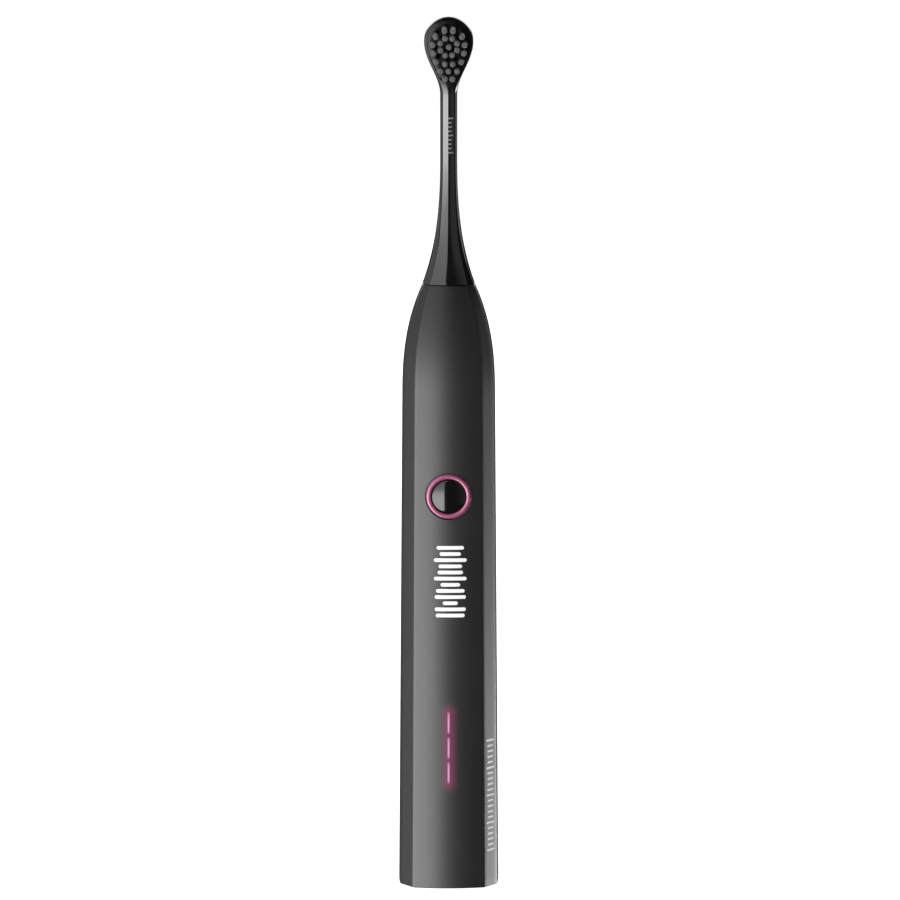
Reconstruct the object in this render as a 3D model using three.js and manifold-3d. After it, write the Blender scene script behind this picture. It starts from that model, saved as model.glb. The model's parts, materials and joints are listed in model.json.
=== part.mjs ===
// Sonic toothbrush: a slim eight-sided handle, a round neck and a small tufted head.
//
// Millimetres, +Z up the handle. The origin is the centre of the base, and the front, with the
// button and the bristles, faces -Y. The brush head sits on the drive shaft, the rotor turns that
// shaft a few degrees each way, and the button presses a switch on the circuit board.

import * as THREE from 'three';
import { mergeVertices } from 'three/addons/utils/BufferGeometryUtils.js';
import Module from 'manifold-3d';

const wasm = await Module();
wasm.setup();

// ---------------------------------------------------------------- driving dimensions

const TAU = 2 * Math.PI;
const FINE = 24; // sides of a large round piece
const SMALL = 16; // sides of a small round piece

// The eight-sided outline, as shares of its half-width.
const OUTLINE = { faceHalf: 0.712, faceBow: 0.08, sideHalf: 0.597, sideBow: 0.025 };

const HANDLE = {
  top: 174.1,
  baseHalf: 14.42, // half-width at the base
  taper: 0.0078, // half-width lost for each millimetre of height
  shoulder: 143, // the shoulder curves in above this height
  shoulderDrop: 5.7, // half-width lost over the shoulder
  shoulderPower: 2.5,
  wall: 1.8,
  edge: 0.3, // bevel of the bottom edge
  cavityTop: 165,
  noseBore: 4.7,
};

const BASE = {
  plateTop: 2.2,
  plateGap: 0.3, // to the housing's inner wall
  spigotTop: 6,
  spigotHalf: 11.2,
  spigotBore: 10.2,
  wellRadius: 4.5,
  wellDepth: 12,
  wellWall: 1.2,
  sealHalf: 12.48,
  sealBottom: 2.4,
  sealTop: 4.4,
  sealGap: 0.12,
};

const COIL = { bottom: 3.5, top: 14, bore: 6, barrel: 6.8, winding: 9.3, flange: 9.6, lip: 1 };
const SHIELD = { radius: 9, bottom: 14.3, top: 15.8 };

const BOARD = { front: -8.6, back: -7.8, half: 7.5, bottom: 19.5, top: 116.9 };
const BOARD_SCREW = { heights: [26, 98], head: 1.5, headLength: 0.65, shank: 0.8, length: 2.4 };

const CHIPS = {
  charger: { height: 60, width: 3, length: 4, thick: 0.9 },
  inductor: { height: 66.5, width: 4, length: 4, thick: 2 },
  controller: { height: 74, width: 5, length: 5, thick: 0.9 },
  capacitor: { height: 84, width: 3.4, length: 7, thick: 2.2 },
};

const CHASSIS = {
  half: 8.8,
  plateFront: -7.3,
  plateBack: -6.3,
  bottom: 17,
  deckHeights: [17, 89],
  deckThick: 2,
  deckBack: 8.5,
  railInner: 7.8,
  railBack: 5,
  ringBottom: 117.3,
  ringTop: 119.3,
  ringRadius: 10.8,
  ringBore: 3,
  ringFront: -8.8,
  cradleBore: 10.05,
  cradleTop: 149,
  cradleFront: -1,
};

const BATTERY = { radius: 7.1, bottom: 21, length: 65, back: 1.2, terminal: 2.8, terminalTop: 87 };
const TAB = { half: 1.5, thick: 0.25, front: -7.7, back: 2.5, slotHalf: 2, slotGap: 0.5 };

const MOTOR = {
  bottom: 122.6,
  top: 152,
  radius: 9,
  bore: 8.3,
  plate: 2.5,
  plateGap: 0.1,
  bearing: 4.1,
  bearingFit: 0.15,
  middle: 137,
  stackHalf: 8, // half the length of the laminated core and of the magnets
  coreOuter: 8.1,
  coreInner: 7.2,
  poleHalf: 2.2,
  shoeHalf: 3.3,
  shoeOuter: 4.9,
  air: 4.3, // radius of the air gap's outer wall
  windingInner: 5.1,
  windingOuter: 6.1,
  windingHalf: 3.6,
  windingEnd: 1.7,
  windingGap: 0.15,
};
const DAMPER = { inner: 9.2, outer: 9.85, bottom: 126, top: 146 };

const SHAFT = { radius: 1.5, bottom: 110, top: 187, flatBottom: 176, flatDepth: 0.4, fit: 0.06 };
const ROTOR = { yoke: 2.4, magnetInner: 2.5, magnetOuter: 3.9, magnetArc: (120 / 360) * TAU };
const SPRING = { half: 1.2, thick: 0.4, bottom: 96.1, top: 109.7, anchorHalf: 5, anchorBottom: 91.1 };

const SEAL = { bore: 1.8, bottom: 158, top: 171, plug: 4.5 };
const RETAINER = { bore: 2.1, radius: 4.5, bottom: 171.2, top: 173.9 };

const BUTTON = {
  height: 114.5,
  pocket: 6.75,
  pocketFloor: -12.6,
  hole: 5.3,
  relief: 7.1,
  reliefFloor: -11.5,
  bezelOuter: 6.45,
  bezelInner: 5,
  bezelFront: -13.8,
  bezelBack: -12.65,
  bezelBevel: 0.35,
  cap: 4.75,
  capFront: -13.65,
  capCrown: 0.6,
  flange: 5.6,
  flangeFront: -11.4,
  flangeBack: -10.8,
  stem: 1.25,
  stemBack: -10.3,
};
const BUTTON_SEAL = { inner: 5.95, outer: 6.8, front: -11.4, back: -10.2 };
const SWITCH = {
  half: 2.25,
  front: -9.8,
  bore: 1.2,
  boreBack: -8.9,
  pin: 0.9,
  pinFront: -10.25,
  pinBack: -9.5,
};

const LIGHT = {
  height: 41.4, // of the middle window
  pitch: 7.3,
  length: 6.4,
  half: 0.4,
  fit: 0.05,
  inset: 0.05,
  windowBack: -12.3,
  guideFront: -12,
  guideRoot: -10.6,
  guideBack: -9.5,
  guideHalf: 1.5,
  guideLength: 22,
  diode: { width: 1.2, length: 2, thick: 0.7 },
};

const BRUSH = {
  bottom: 174.4,
  neckHalf: 2.43,
  neckBottom: 211.2, // the flare ends here
  flarePower: 2.65,
  roundFrom: 192, // the eight-sided foot has turned round here
  bendBottom: 206,
  bendTop: 222,
  tilt: (6 / 360) * TAU, // of the head, towards the front
  headCentre: 243.4, // along the neck's centre line
  headRadius: 6.95,
  headThick: 2.1, // half its thickness
  headEdge: 1.6, // radius of its rounded top
  headSquare: 6, // how flat its face is and how tight its rim: 0 would be an ellipse
  headLength: 15.4, // from its centre down to where it has narrowed to the neck
  socketRadius: 3.4,
  socketTop: 184,
  tipRadius: 2.8,
  tipTop: 189,
};
const INSERT = { bottom: 175, top: 188.5, outer: 2.7, bore: 1.65 };
const CLIP = { inner: 2.85, outer: 3.25, bottom: 179.5, top: 182, opening: (70 / 360) * TAU };

const TUFTS = {
  radius: 0.8,
  tip: 8.6, // of the tips, in front of the head's middle plane
  plateBack: 1.3,
  plateFront: 1.9,
  plateInset: 0.8,
  pocketGap: 0.15,
  pocketFloor: 1.1,
  middle: -0.3, // height of the middle tuft over the head's centre
  ring: { count: 8, radius: 2.56 },
  // the others on the right-hand side, from the middle tuft, each mirrored for the left
  sides: [
    [1.2, 4.5], [3.65, 2.8], [4.5, 0.5], [4.25, -1.85],
    [3.6, -4.3], [1.1, -4.9], [2.35, -6.95], [1.05, -9.15],
  ],
  tail: -6.95, // height of the single tuft between the lowest rows, from the middle tuft
};

const WIRE = {
  radius: 0.4,
  // routes on the right-hand side, each mirrored for the left
  coil: [[3, -9.6, 8], [3.2, -10, 13], [3.6, -9.9, 17.5], [4, -9.15, 22]],
  motor: [[5.2, -9.1, 106], [5.2, -9.15, 112], [5.2, -9.5, 118.5], [5.2, -8.6, 124.5]],
};

// ---------------------------------------------------------------- materials

function material(color, roughness, metalness) {
  return new THREE.MeshStandardMaterial({ color, roughness, metalness });
}

const handleBlack = material(0x2a2b2b, 0.5, 0);
const glossBlack = material(0x0b0b0c, 0.12, 0);
const bristleGrey = material(0x3a3a3c, 0.6, 0);
const pinkMetal = material(0xc0668e, 0.22, 1);
const pinkLight = material(0xf07cc0, 0.4, 0);
const clearPlastic = material(0xd9dde0, 0.3, 0);
const innerPlastic = material(0xb9bcbd, 0.6, 0);
const darkPlastic = material(0x1d1f20, 0.55, 0);
const rubberBlack = material(0x161616, 0.85, 0);
const boardGreen = material(0x1f5a35, 0.45, 0);
const copper = material(0xb06a35, 0.35, 1);
const steel = material(0xb8babd, 0.3, 1);
const ironGrey = material(0x5a5c60, 0.5, 1);
const ferriteGrey = material(0x303234, 0.7, 0);
const cellGreen = material(0x2f6f6a, 0.4, 0.3);
const nickel = material(0xc9c4b4, 0.35, 1);
const chipBlack = material(0x141516, 0.6, 0);
const wireRed = material(0xa8242b, 0.5, 0);

// ---------------------------------------------------------------- solids

/** A three.js geometry as a solid that can be joined and cut. */
function solid(geometry) {
  const bare = geometry.clone();
  bare.deleteAttribute('normal');
  bare.deleteAttribute('uv');
  const merged = mergeVertices(bare, 1e-4);
  const corners = merged.index.array;
  const kept = [];
  for (let i = 0; i < corners.length; i += 3) {
    const [a, b, c] = corners.slice(i, i + 3);
    if (a !== b && b !== c && c !== a) kept.push(a, b, c);
  }
  return new wasm.Manifold(new wasm.Mesh({
    numProp: 3,
    vertProperties: new Float32Array(merged.attributes.position.array),
    triVerts: new Uint32Array(kept),
  }));
}

/** A joined or cut solid as a three.js geometry. */
function geometryOf(shape) {
  const { vertProperties, triVerts } = shape.getMesh();
  const geometry = new THREE.BufferGeometry();
  geometry.setAttribute('position', new THREE.BufferAttribute(new Float32Array(vertProperties), 3));
  geometry.setIndex(new THREE.BufferAttribute(new Uint32Array(triVerts), 1));
  geometry.computeVertexNormals();
  return geometry;
}

/** One geometry from a first one, those joined to it and those cut from it. */
function build(first, joined = [], cut = []) {
  let shape = solid(first);
  for (const geometry of joined) shape = shape.add(solid(geometry));
  for (const geometry of cut) shape = shape.subtract(solid(geometry));
  return geometryOf(shape);
}

function box([x0, x1], [y0, y1], [z0, z1]) {
  const geometry = new THREE.BoxGeometry(x1 - x0, y1 - y0, z1 - z0);
  return geometry.translate((x0 + x1) / 2, (y0 + y1) / 2, (z0 + z1) / 2);
}

/** A round bar along Z. */
function bar(radius, bottom, top, sides = SMALL) {
  const geometry = new THREE.CylinderGeometry(radius, radius, top - bottom, sides);
  return geometry.rotateX(TAU / 4).translate(0, 0, (bottom + top) / 2);
}

function extrude(shape, bottom, top, sides = SMALL) {
  const options = { depth: top - bottom, bevelEnabled: false, curveSegments: sides / 2 };
  return new THREE.ExtrudeGeometry(shape, options).translate(0, 0, bottom);
}

/** A round tube along Z. */
function ring(inner, outer, bottom, top, sides = SMALL) {
  const shape = new THREE.Shape().absarc(0, 0, outer, 0, TAU);
  shape.holes.push(new THREE.Path().absarc(0, 0, inner, 0, TAU, true));
  return extrude(shape, bottom, top, sides);
}

/** Part of a round tube along Z: an arc that is centred on the angle given. */
function arc(inner, outer, bottom, top, centre, width, sides = SMALL) {
  const [from, to] = [centre - width / 2, centre + width / 2];
  const shape = new THREE.Shape().absarc(0, 0, outer, from, to);
  shape.absarc(0, 0, inner, to, from, true);
  shape.closePath();
  return extrude(shape, bottom, top, sides);
}

/** A turned solid along Z. The [radius, height] profile is listed with the solid on its left. */
function turned(profile, sides = SMALL) {
  const points = profile.map(([radius, height]) => new THREE.Vector2(radius, height));
  return new THREE.LatheGeometry(points, sides).rotateX(TAU / 4);
}

/** A closed profile for a turned ring. */
function closed(profile) {
  return [...profile, profile[0]];
}

/** Turns a solid made along Z to lie along Y, with the heights becoming depths, at a height. */
function intoFace(geometry, height) {
  return geometry.rotateX(-TAU / 4).translate(0, 0, height);
}

/** A wire along a route, on the side given (-1 or 1). */
function wire(route, side) {
  const path = new THREE.CatmullRomCurve3(route.map(([x, y, z]) => new THREE.Vector3(side * x, y, z)));
  const section = new THREE.Shape().absarc(0, 0, WIRE.radius, 0, TAU);
  return new THREE.ExtrudeGeometry(section, { extrudePath: path, steps: 12, curveSegments: 4 });
}

// ---------------------------------------------------------------- the eight-sided outline

/** The outline at a half-width of 1: a bowed face and side, and the same turned half round. */
function outline() {
  const half = [];
  for (let i = -3; i <= 3; i += 1) {
    const x = (i / 3) * OUTLINE.faceHalf;
    half.push([x, -1 + OUTLINE.faceBow * (i / 3) ** 2]);
  }
  for (let i = -2; i <= 2; i += 1) {
    const y = (i / 2) * OUTLINE.sideHalf;
    half.push([1 - OUTLINE.sideBow * (i / 2) ** 2, y]);
  }
  return [...half, ...half.map(([x, y]) => [-x, -y])];
}

function outlineShape(half) {
  return new THREE.Shape(outline().map(([x, y]) => new THREE.Vector2(x * half, y * half)));
}

/** A closed solid with one ring of points at each station, from place(x, y, station). */
function loft(stations, place) {
  const last = stations.length - 1;
  const options = { depth: last, steps: last, bevelEnabled: false };
  const geometry = new THREE.ExtrudeGeometry(outlineShape(1), options);
  const position = geometry.attributes.position;
  for (let i = 0; i < position.count; i += 1) {
    const station = stations[Math.round(position.getZ(i))];
    position.setXYZ(i, ...place(position.getX(i), position.getY(i), station));
  }
  return geometry;
}

function range(from, to, count) {
  return Array.from({ length: count + 1 }, (_, i) => from + ((to - from) * i) / count);
}

// ---------------------------------------------------------------- handle shell

function handleHalf(z) {
  const rise = Math.max(0, (z - HANDLE.shoulder) / (HANDLE.top - HANDLE.shoulder));
  return HANDLE.baseHalf - HANDLE.taper * z - HANDLE.shoulderDrop * rise ** HANDLE.shoulderPower;
}

/** A stretch of the handle, with its surface moved in by inset(z). */
function handleStretch(heights, inset) {
  return loft(heights, (x, y, z) => {
    const half = handleHalf(z) - inset(z);
    return [x * half, y * half, z];
  });
}

function lightHeights() {
  return [-1, 0, 1].map((step) => LIGHT.height + step * LIGHT.pitch);
}

function housing() {
  const shoulder = range(HANDLE.shoulder, HANDLE.top, 10);
  const outside = handleStretch([0, HANDLE.edge, ...shoulder], (z) => Math.max(0, HANDLE.edge - z));
  const inner = [-1, ...range(HANDLE.shoulder, HANDLE.cavityTop, 6)];
  const cavity = handleStretch(inner, () => HANDLE.wall);
  const nose = bar(HANDLE.noseBore, HANDLE.cavityTop - 1, HANDLE.top + 1);
  const outer = -HANDLE.baseHalf - 1;
  const slotHalf = LIGHT.half + LIGHT.fit;
  const slotLength = LIGHT.length / 2 + LIGHT.fit;
  const slots = lightHeights().map((height) => box(
    [-slotHalf, slotHalf],
    [outer, LIGHT.guideFront],
    [height - slotLength, height + slotLength],
  ));
  return build(outside, [], [
    cavity,
    nose,
    intoFace(bar(BUTTON.pocket, outer, BUTTON.pocketFloor, FINE), BUTTON.height),
    intoFace(bar(BUTTON.hole, outer, BUTTON.stemBack, FINE), BUTTON.height),
    intoFace(bar(BUTTON.relief, BUTTON.reliefFloor, BUTTON.stemBack + 1, FINE), BUTTON.height),
    ...slots,
  ]);
}

// ---------------------------------------------------------------- base and charging coil

function baseCap() {
  const half = handleHalf(0) - HANDLE.wall - BASE.plateGap;
  const post = BASE.wellRadius + BASE.wellWall;
  const spigot = outlineShape(BASE.spigotHalf);
  spigot.holes.push(new THREE.Path().absarc(0, 0, BASE.spigotBore, 0, TAU, true));
  return build(
    extrude(outlineShape(half), 0, BASE.plateTop),
    [
      extrude(spigot, BASE.plateTop - 0.5, BASE.spigotTop),
      bar(post, 0, BASE.wellDepth + BASE.wellWall),
    ],
    [bar(BASE.wellRadius, -1, BASE.wellDepth, FINE)],
  );
}

function baseSeal() {
  const shape = outlineShape(BASE.sealHalf);
  const hole = outline().map(([x, y]) => {
    const half = BASE.spigotHalf + BASE.sealGap;
    return new THREE.Vector2(x * half, y * half);
  });
  shape.holes.push(new THREE.Path(hole));
  return extrude(shape, BASE.sealBottom, BASE.sealTop);
}

function coilBobbin() {
  const { bottom, top, bore, barrel, flange, lip } = COIL;
  return turned(closed([
    [bore, bottom],
    [flange, bottom],
    [flange, bottom + lip],
    [barrel, bottom + lip],
    [barrel, top - lip],
    [flange, top - lip],
    [flange, top],
    [bore, top],
  ]), FINE);
}

function chargeCoil() {
  const { bottom, top, barrel, winding, lip } = COIL;
  return ring(barrel + 0.15, winding, bottom + lip + 0.1, top - lip - 0.1, FINE);
}

// ---------------------------------------------------------------- chassis, battery and board

function boardHole(height, radius) {
  return intoFace(bar(radius, BOARD.front - 1, CHASSIS.plateBack + 1), height);
}

function chassis() {
  const { half, plateFront, plateBack, bottom } = CHASSIS;
  const decks = CHASSIS.deckHeights.map((height) => box(
    [-half, half],
    [plateFront, CHASSIS.deckBack],
    [height, height + CHASSIS.deckThick],
  ));
  const railTop = CHASSIS.deckHeights[1] + CHASSIS.deckThick;
  const rails = [-1, 1].map((side) => {
    const x = [side * CHASSIS.railInner, side * half].sort((a, b) => a - b);
    return box(x, [plateFront, CHASSIS.railBack], [bottom, railTop]);
  });
  const cradle = ring(CHASSIS.cradleBore, CHASSIS.ringRadius, CHASSIS.ringBottom, CHASSIS.cradleTop, FINE);
  const wide = 2 * CHASSIS.ringRadius;
  const tabSlots = tabHeights().map((height) => box(
    [-TAB.slotHalf, TAB.slotHalf],
    [plateFront - 1, plateBack + 0.5],
    [height - TAB.slotGap, height + TAB.thick + TAB.slotGap],
  ));
  const ringPlate = build(
    bar(CHASSIS.ringRadius, CHASSIS.ringBottom, CHASSIS.ringTop, FINE),
    [],
    [
      bar(CHASSIS.ringBore, CHASSIS.ringBottom - 1, CHASSIS.ringTop + 1),
      box([-wide, wide], [-wide, CHASSIS.ringFront], [CHASSIS.ringBottom - 1, CHASSIS.ringTop + 1]),
    ],
  );
  const halfCradle = build(cradle, [], [
    box([-wide, wide], [-wide, CHASSIS.cradleFront], [CHASSIS.ringBottom - 1, CHASSIS.cradleTop + 1]),
  ]);
  return build(
    box([-half, half], [plateFront, plateBack], [bottom, CHASSIS.ringBottom + 0.5]),
    [...decks, ...rails, ringPlate, halfCradle],
    [...tabSlots, ...BOARD_SCREW.heights.map((height) => boardHole(height, BOARD_SCREW.shank + 0.1))],
  );
}

function tabHeights() {
  return [BATTERY.bottom - 2 * TAB.thick, BATTERY.terminalTop + TAB.thick / 2];
}

function batteryTab(height) {
  return box([-TAB.half, TAB.half], [TAB.front, TAB.back], [height, height + TAB.thick]);
}

function circuitBoard() {
  const plate = box([-BOARD.half, BOARD.half], [BOARD.front, BOARD.back], [BOARD.bottom, BOARD.top]);
  return build(plate, [], BOARD_SCREW.heights.map((height) => boardHole(height, BOARD_SCREW.shank + 0.2)));
}

function boardScrew(height) {
  const seat = BOARD.front - 0.05;
  return intoFace(turned([
    [0, seat - BOARD_SCREW.headLength],
    [BOARD_SCREW.head, seat - BOARD_SCREW.headLength],
    [BOARD_SCREW.head, seat],
    [BOARD_SCREW.shank, seat],
    [BOARD_SCREW.shank, seat + BOARD_SCREW.length],
    [0, seat + BOARD_SCREW.length],
  ], 16), height);
}

/** A block on the front of the circuit board, on its centre line. */
function boardBlock({ height, width, length, thick }) {
  return box(
    [-width / 2, width / 2],
    [BOARD.front - thick, BOARD.front],
    [height - length / 2, height + length / 2],
  );
}

// ---------------------------------------------------------------- button and lights

function buttonBezel() {
  const { bezelInner, bezelOuter, bezelFront, bezelBack, bezelBevel, height } = BUTTON;
  return intoFace(turned(closed([
    [bezelInner, bezelFront + bezelBevel],
    [bezelInner + bezelBevel, bezelFront],
    [bezelOuter - bezelBevel, bezelFront],
    [bezelOuter, bezelFront + bezelBevel],
    [bezelOuter, bezelBack],
    [bezelInner, bezelBack],
  ]), FINE), height);
}

function powerButton() {
  const { cap, capFront, capCrown, flange, flangeFront, flangeBack, stem, stemBack } = BUTTON;
  const crown = [0, 0.35, 0.7].map((share) => [cap * share, capFront - capCrown * (1 - share ** 2)]);
  return intoFace(turned([
    ...crown,
    [cap, capFront],
    [cap, flangeFront],
    [flange, flangeFront],
    [flange, flangeBack],
    [stem, flangeBack],
    [stem, stemBack],
    [0, stemBack],
  ], FINE), BUTTON.height);
}

function tactSwitch() {
  const { half, front, bore, boreBack } = SWITCH;
  const body = box([-half, half], [front, BOARD.front], [BUTTON.height - half, BUTTON.height + half]);
  return build(body, [], [intoFace(bar(bore, front - 1, boreBack), BUTTON.height)]);
}

function lightWindow(height) {
  const front = -handleHalf(height) + LIGHT.inset;
  const half = LIGHT.length / 2;
  return box([-LIGHT.half, LIGHT.half], [front, LIGHT.windowBack], [height - half, height + half]);
}

/** A clear comb: one back bar, and a prong behind each window. */
function lightGuide() {
  const bottom = LIGHT.height - LIGHT.guideLength / 2;
  const back = box([-LIGHT.guideHalf, LIGHT.guideHalf], [LIGHT.guideRoot, LIGHT.guideBack],
    [bottom, bottom + LIGHT.guideLength]);
  const prongs = lightHeights().map((height) => box(
    [-LIGHT.half, LIGHT.half],
    [LIGHT.guideFront, LIGHT.guideRoot + 0.2],
    [height - LIGHT.length / 2, height + LIGHT.length / 2],
  ));
  return build(back, prongs);
}

// ---------------------------------------------------------------- drive

function endPlate(bottom) {
  return ring(MOTOR.bearing + MOTOR.bearingFit, MOTOR.radius, bottom, bottom + MOTOR.plate, FINE);
}

function bearing(bottom) {
  return ring(SHAFT.radius + SHAFT.fit, MOTOR.bearing, bottom, bottom + MOTOR.plate);
}

/** The laminated core: a round frame with two poles that point in to the rotor. */
function statorCore() {
  const { middle, stackHalf, coreInner, coreOuter, poleHalf, shoeHalf, shoeOuter, air } = MOTOR;
  const [bottom, top] = [middle - stackHalf, middle + stackHalf];
  const poles = box([-coreInner - 0.4, coreInner + 0.4], [-poleHalf, poleHalf], [bottom, top]);
  const shoes = box([-shoeOuter, shoeOuter], [-shoeHalf, shoeHalf], [bottom, top]);
  return build(ring(coreInner, coreOuter, bottom, top, FINE), [poles, shoes], [
    bar(air, bottom - 1, top + 1),
  ]);
}

/** A winding round one pole, on the side given (-1 or 1). */
function winding(side) {
  const { middle, stackHalf, poleHalf, windingInner, windingOuter, windingHalf } = MOTOR;
  const x = [side * windingInner, side * windingOuter].sort((a, b) => a - b);
  const through = [x[0] - 1, x[1] + 1];
  const end = stackHalf + MOTOR.windingEnd;
  const hole = poleHalf + MOTOR.windingGap;
  const holeEnd = stackHalf + MOTOR.windingGap;
  return build(
    box(x, [-windingHalf, windingHalf], [middle - end, middle + end]),
    [],
    [box(through, [-hole, hole], [middle - holeEnd, middle + holeEnd])],
  );
}

function driveShaft() {
  const flat = SHAFT.radius - SHAFT.flatDepth;
  return build(bar(SHAFT.radius, SHAFT.bottom, SHAFT.top), [], [
    box([-SHAFT.radius, SHAFT.radius], [flat, flat + 1], [SHAFT.flatBottom, SHAFT.top + 1]),
  ]);
}

function rotorYoke() {
  const [bottom, top] = [MOTOR.middle - MOTOR.stackHalf, MOTOR.middle + MOTOR.stackHalf];
  return ring(SHAFT.radius + SHAFT.fit, ROTOR.yoke, bottom, top);
}

function magnet(centre) {
  const [bottom, top] = [MOTOR.middle - MOTOR.stackHalf, MOTOR.middle + MOTOR.stackHalf];
  return arc(ROTOR.magnetInner, ROTOR.magnetOuter, bottom, top, centre, ROTOR.magnetArc);
}

function springAnchor() {
  const { anchorHalf, anchorBottom, bottom } = SPRING;
  return box([-anchorHalf, anchorHalf], [-anchorHalf, anchorHalf], [anchorBottom, bottom - 0.1]);
}

/** A rubber bellows: a plug in the nose, a thin neck round the shaft and a flange below. */
function shaftSeal() {
  const { bore, bottom, top, plug } = SEAL;
  return turned(closed([
    [bore, bottom],
    [3, bottom],
    [3, bottom + 2],
    [6.4, bottom + 2],
    [6.4, bottom + 3.4],
    [3.4, bottom + 3.4],
    [3.4, top - 5],
    [plug, top - 4.4],
    [plug, top],
    [bore, top],
  ]));
}

// ---------------------------------------------------------------- brush head

/** A point of the neck's centre line, and the angle by which it leans to the front there. */
function spine(along) {
  const { bendBottom, bendTop, tilt } = BRUSH;
  const radius = (bendTop - bendBottom) / tilt;
  const angle = THREE.MathUtils.clamp((along - bendBottom) / radius, 0, tilt);
  const straight = along - bendBottom - radius * angle;
  const y = -radius * (1 - Math.cos(angle)) - straight * Math.sin(angle);
  const z = bendBottom + radius * Math.sin(angle) + straight * Math.cos(angle);
  return { y, z, angle };
}

/** Places a point across the neck, x to the side and front towards the bristles. */
function onSpine(along, x, front) {
  const { y, z, angle } = spine(along);
  return [x, y - front * Math.cos(angle), z - front * Math.sin(angle)];
}

/** Half the width of the neck and head. */
function brushHalf(along) {
  const { bottom, neckHalf, neckBottom, flarePower, headCentre, headRadius } = BRUSH;
  if (along > headCentre) return Math.sqrt(Math.max(0, headRadius ** 2 - (along - headCentre) ** 2));
  if (along < neckBottom) {
    const share = (neckBottom - along) / (neckBottom - bottom);
    return neckHalf + (handleHalf(HANDLE.top) - neckHalf) * share ** flarePower;
  }
  const down = (headCentre - along) / BRUSH.headLength;
  const swing = Math.cos(Math.PI * THREE.MathUtils.clamp(down, 0, 1));
  return neckHalf + ((headRadius - neckHalf) * (1 + swing)) / 2;
}

/** Half the thickness of the neck and head. */
function brushThick(along) {
  const { neckBottom, neckHalf, headCentre, headThick, headRadius, headEdge } = BRUSH;
  if (along < neckBottom) return brushHalf(along);
  const reach = along - headCentre - (headRadius - headEdge);
  if (reach > 0) return headThick * Math.sqrt(Math.max(0, 1 - (reach / headEdge) ** 2));
  const share = THREE.MathUtils.clamp((brushHalf(along) - neckHalf) / (headRadius - neckHalf), 0, 1);
  return THREE.MathUtils.lerp(neckHalf, headThick, share);
}

/** The neck's outline goes from eight-sided at its foot, to round, to a flat oval at the head. */
function brushPoint(x, y, along) {
  const half = brushHalf(along);
  const thick = brushThick(along);
  const angle = Math.atan2(-y, x);
  const flat = THREE.MathUtils.clamp((half - BRUSH.neckHalf) / (BRUSH.headRadius - BRUSH.neckHalf), 0, 1);
  const square = along > BRUSH.neckBottom ? 2 / (2 + BRUSH.headSquare * flat) : 1;
  const side = half * Math.sign(Math.cos(angle)) * Math.abs(Math.cos(angle)) ** square;
  const front = thick * Math.sign(Math.sin(angle)) * Math.abs(Math.sin(angle)) ** square;
  const round = THREE.MathUtils.smoothstep(along, BRUSH.bottom, BRUSH.roundFrom);
  return onSpine(
    along,
    THREE.MathUtils.lerp(half * x, side, round),
    THREE.MathUtils.lerp(-half * y, front, round),
  );
}

/** Moves a solid made in the head's own frame (X side, Y up the head, Z to the front). */
function inHead(geometry) {
  const { y, z, angle } = spine(BRUSH.headCentre);
  return geometry.rotateX(TAU / 4 + angle).translate(0, y, z);
}

/** The head's outline from the front, moved in by a margin. */
function headShape(inset) {
  const { headCentre, headRadius } = BRUSH;
  const right = [];
  for (const down of range(0, 10.8, 9)) right.push([brushHalf(headCentre - down) - inset, -down]);
  const points = right.map(([x, y]) => new THREE.Vector2(x, y)).reverse();
  const radius = headRadius - inset;
  for (const angle of range(0, Math.PI, 16).slice(1)) {
    points.push(new THREE.Vector2(radius * Math.cos(angle), radius * Math.sin(angle)));
  }
  for (const [x, y] of right.slice(1)) points.push(new THREE.Vector2(-x, y));
  return new THREE.Shape(points);
}

function brushNeck() {
  const { bottom, neckBottom, headCentre, headRadius } = BRUSH;
  const headBottom = headCentre - BRUSH.headLength;
  const top = range(0, 0.93 * (TAU / 4), 6).map((angle) => headCentre + headRadius * Math.sin(angle));
  const stations = [
    ...range(bottom, neckBottom, 9).slice(0, -1),
    ...range(neckBottom, headBottom, 3).slice(0, -1),
    ...range(headBottom, headCentre, 9).slice(0, -1),
    ...top,
  ];
  return build(loft(stations, brushPoint), [], [
    bar(BRUSH.socketRadius, bottom - 1, BRUSH.socketTop),
    bar(BRUSH.tipRadius, BRUSH.socketTop - 1, BRUSH.tipTop),
    inHead(extrude(headShape(TUFTS.plateInset), TUFTS.pocketFloor, BRUSH.headThick + 1)),
  ]);
}

/** The tufts' places on the head: a middle one, a ring round it, and the mirrored pairs. */
function tuftPlaces() {
  const { count, radius } = TUFTS.ring;
  const ringPlaces = range(0.5, count - 0.5, count - 1).map((step) => {
    const angle = (step / count) * TAU;
    return [radius * Math.sin(angle), radius * Math.cos(angle)];
  });
  const pairs = TUFTS.sides.flatMap(([x, y]) => [[-x, y], [x, y]]);
  const places = [[0, 0], ...ringPlaces, ...pairs, [0, TUFTS.tail]];
  return places.map(([x, y]) => [x, y + TUFTS.middle]);
}

function bristlePlate() {
  const { plateInset, pocketGap, plateBack, plateFront, radius, tip } = TUFTS;
  const plate = extrude(headShape(plateInset + pocketGap), plateBack, plateFront);
  const tufts = tuftPlaces().map(([x, y]) => bar(radius, plateFront - 0.3, tip, 8).translate(x, y, 0));
  return inHead(build(plate, tufts));
}

/** An open spring ring that grips the shaft's sleeve. */
function retainingClip() {
  return arc(CLIP.inner, CLIP.outer, CLIP.bottom, CLIP.top, TAU / 4, TAU - CLIP.opening);
}

// ---------------------------------------------------------------- assembly

const toothbrush = new THREE.Group();

function add(name, geometry, look) {
  const mesh = new THREE.Mesh(geometry, look);
  mesh.name = name;
  toothbrush.add(mesh);
}

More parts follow.
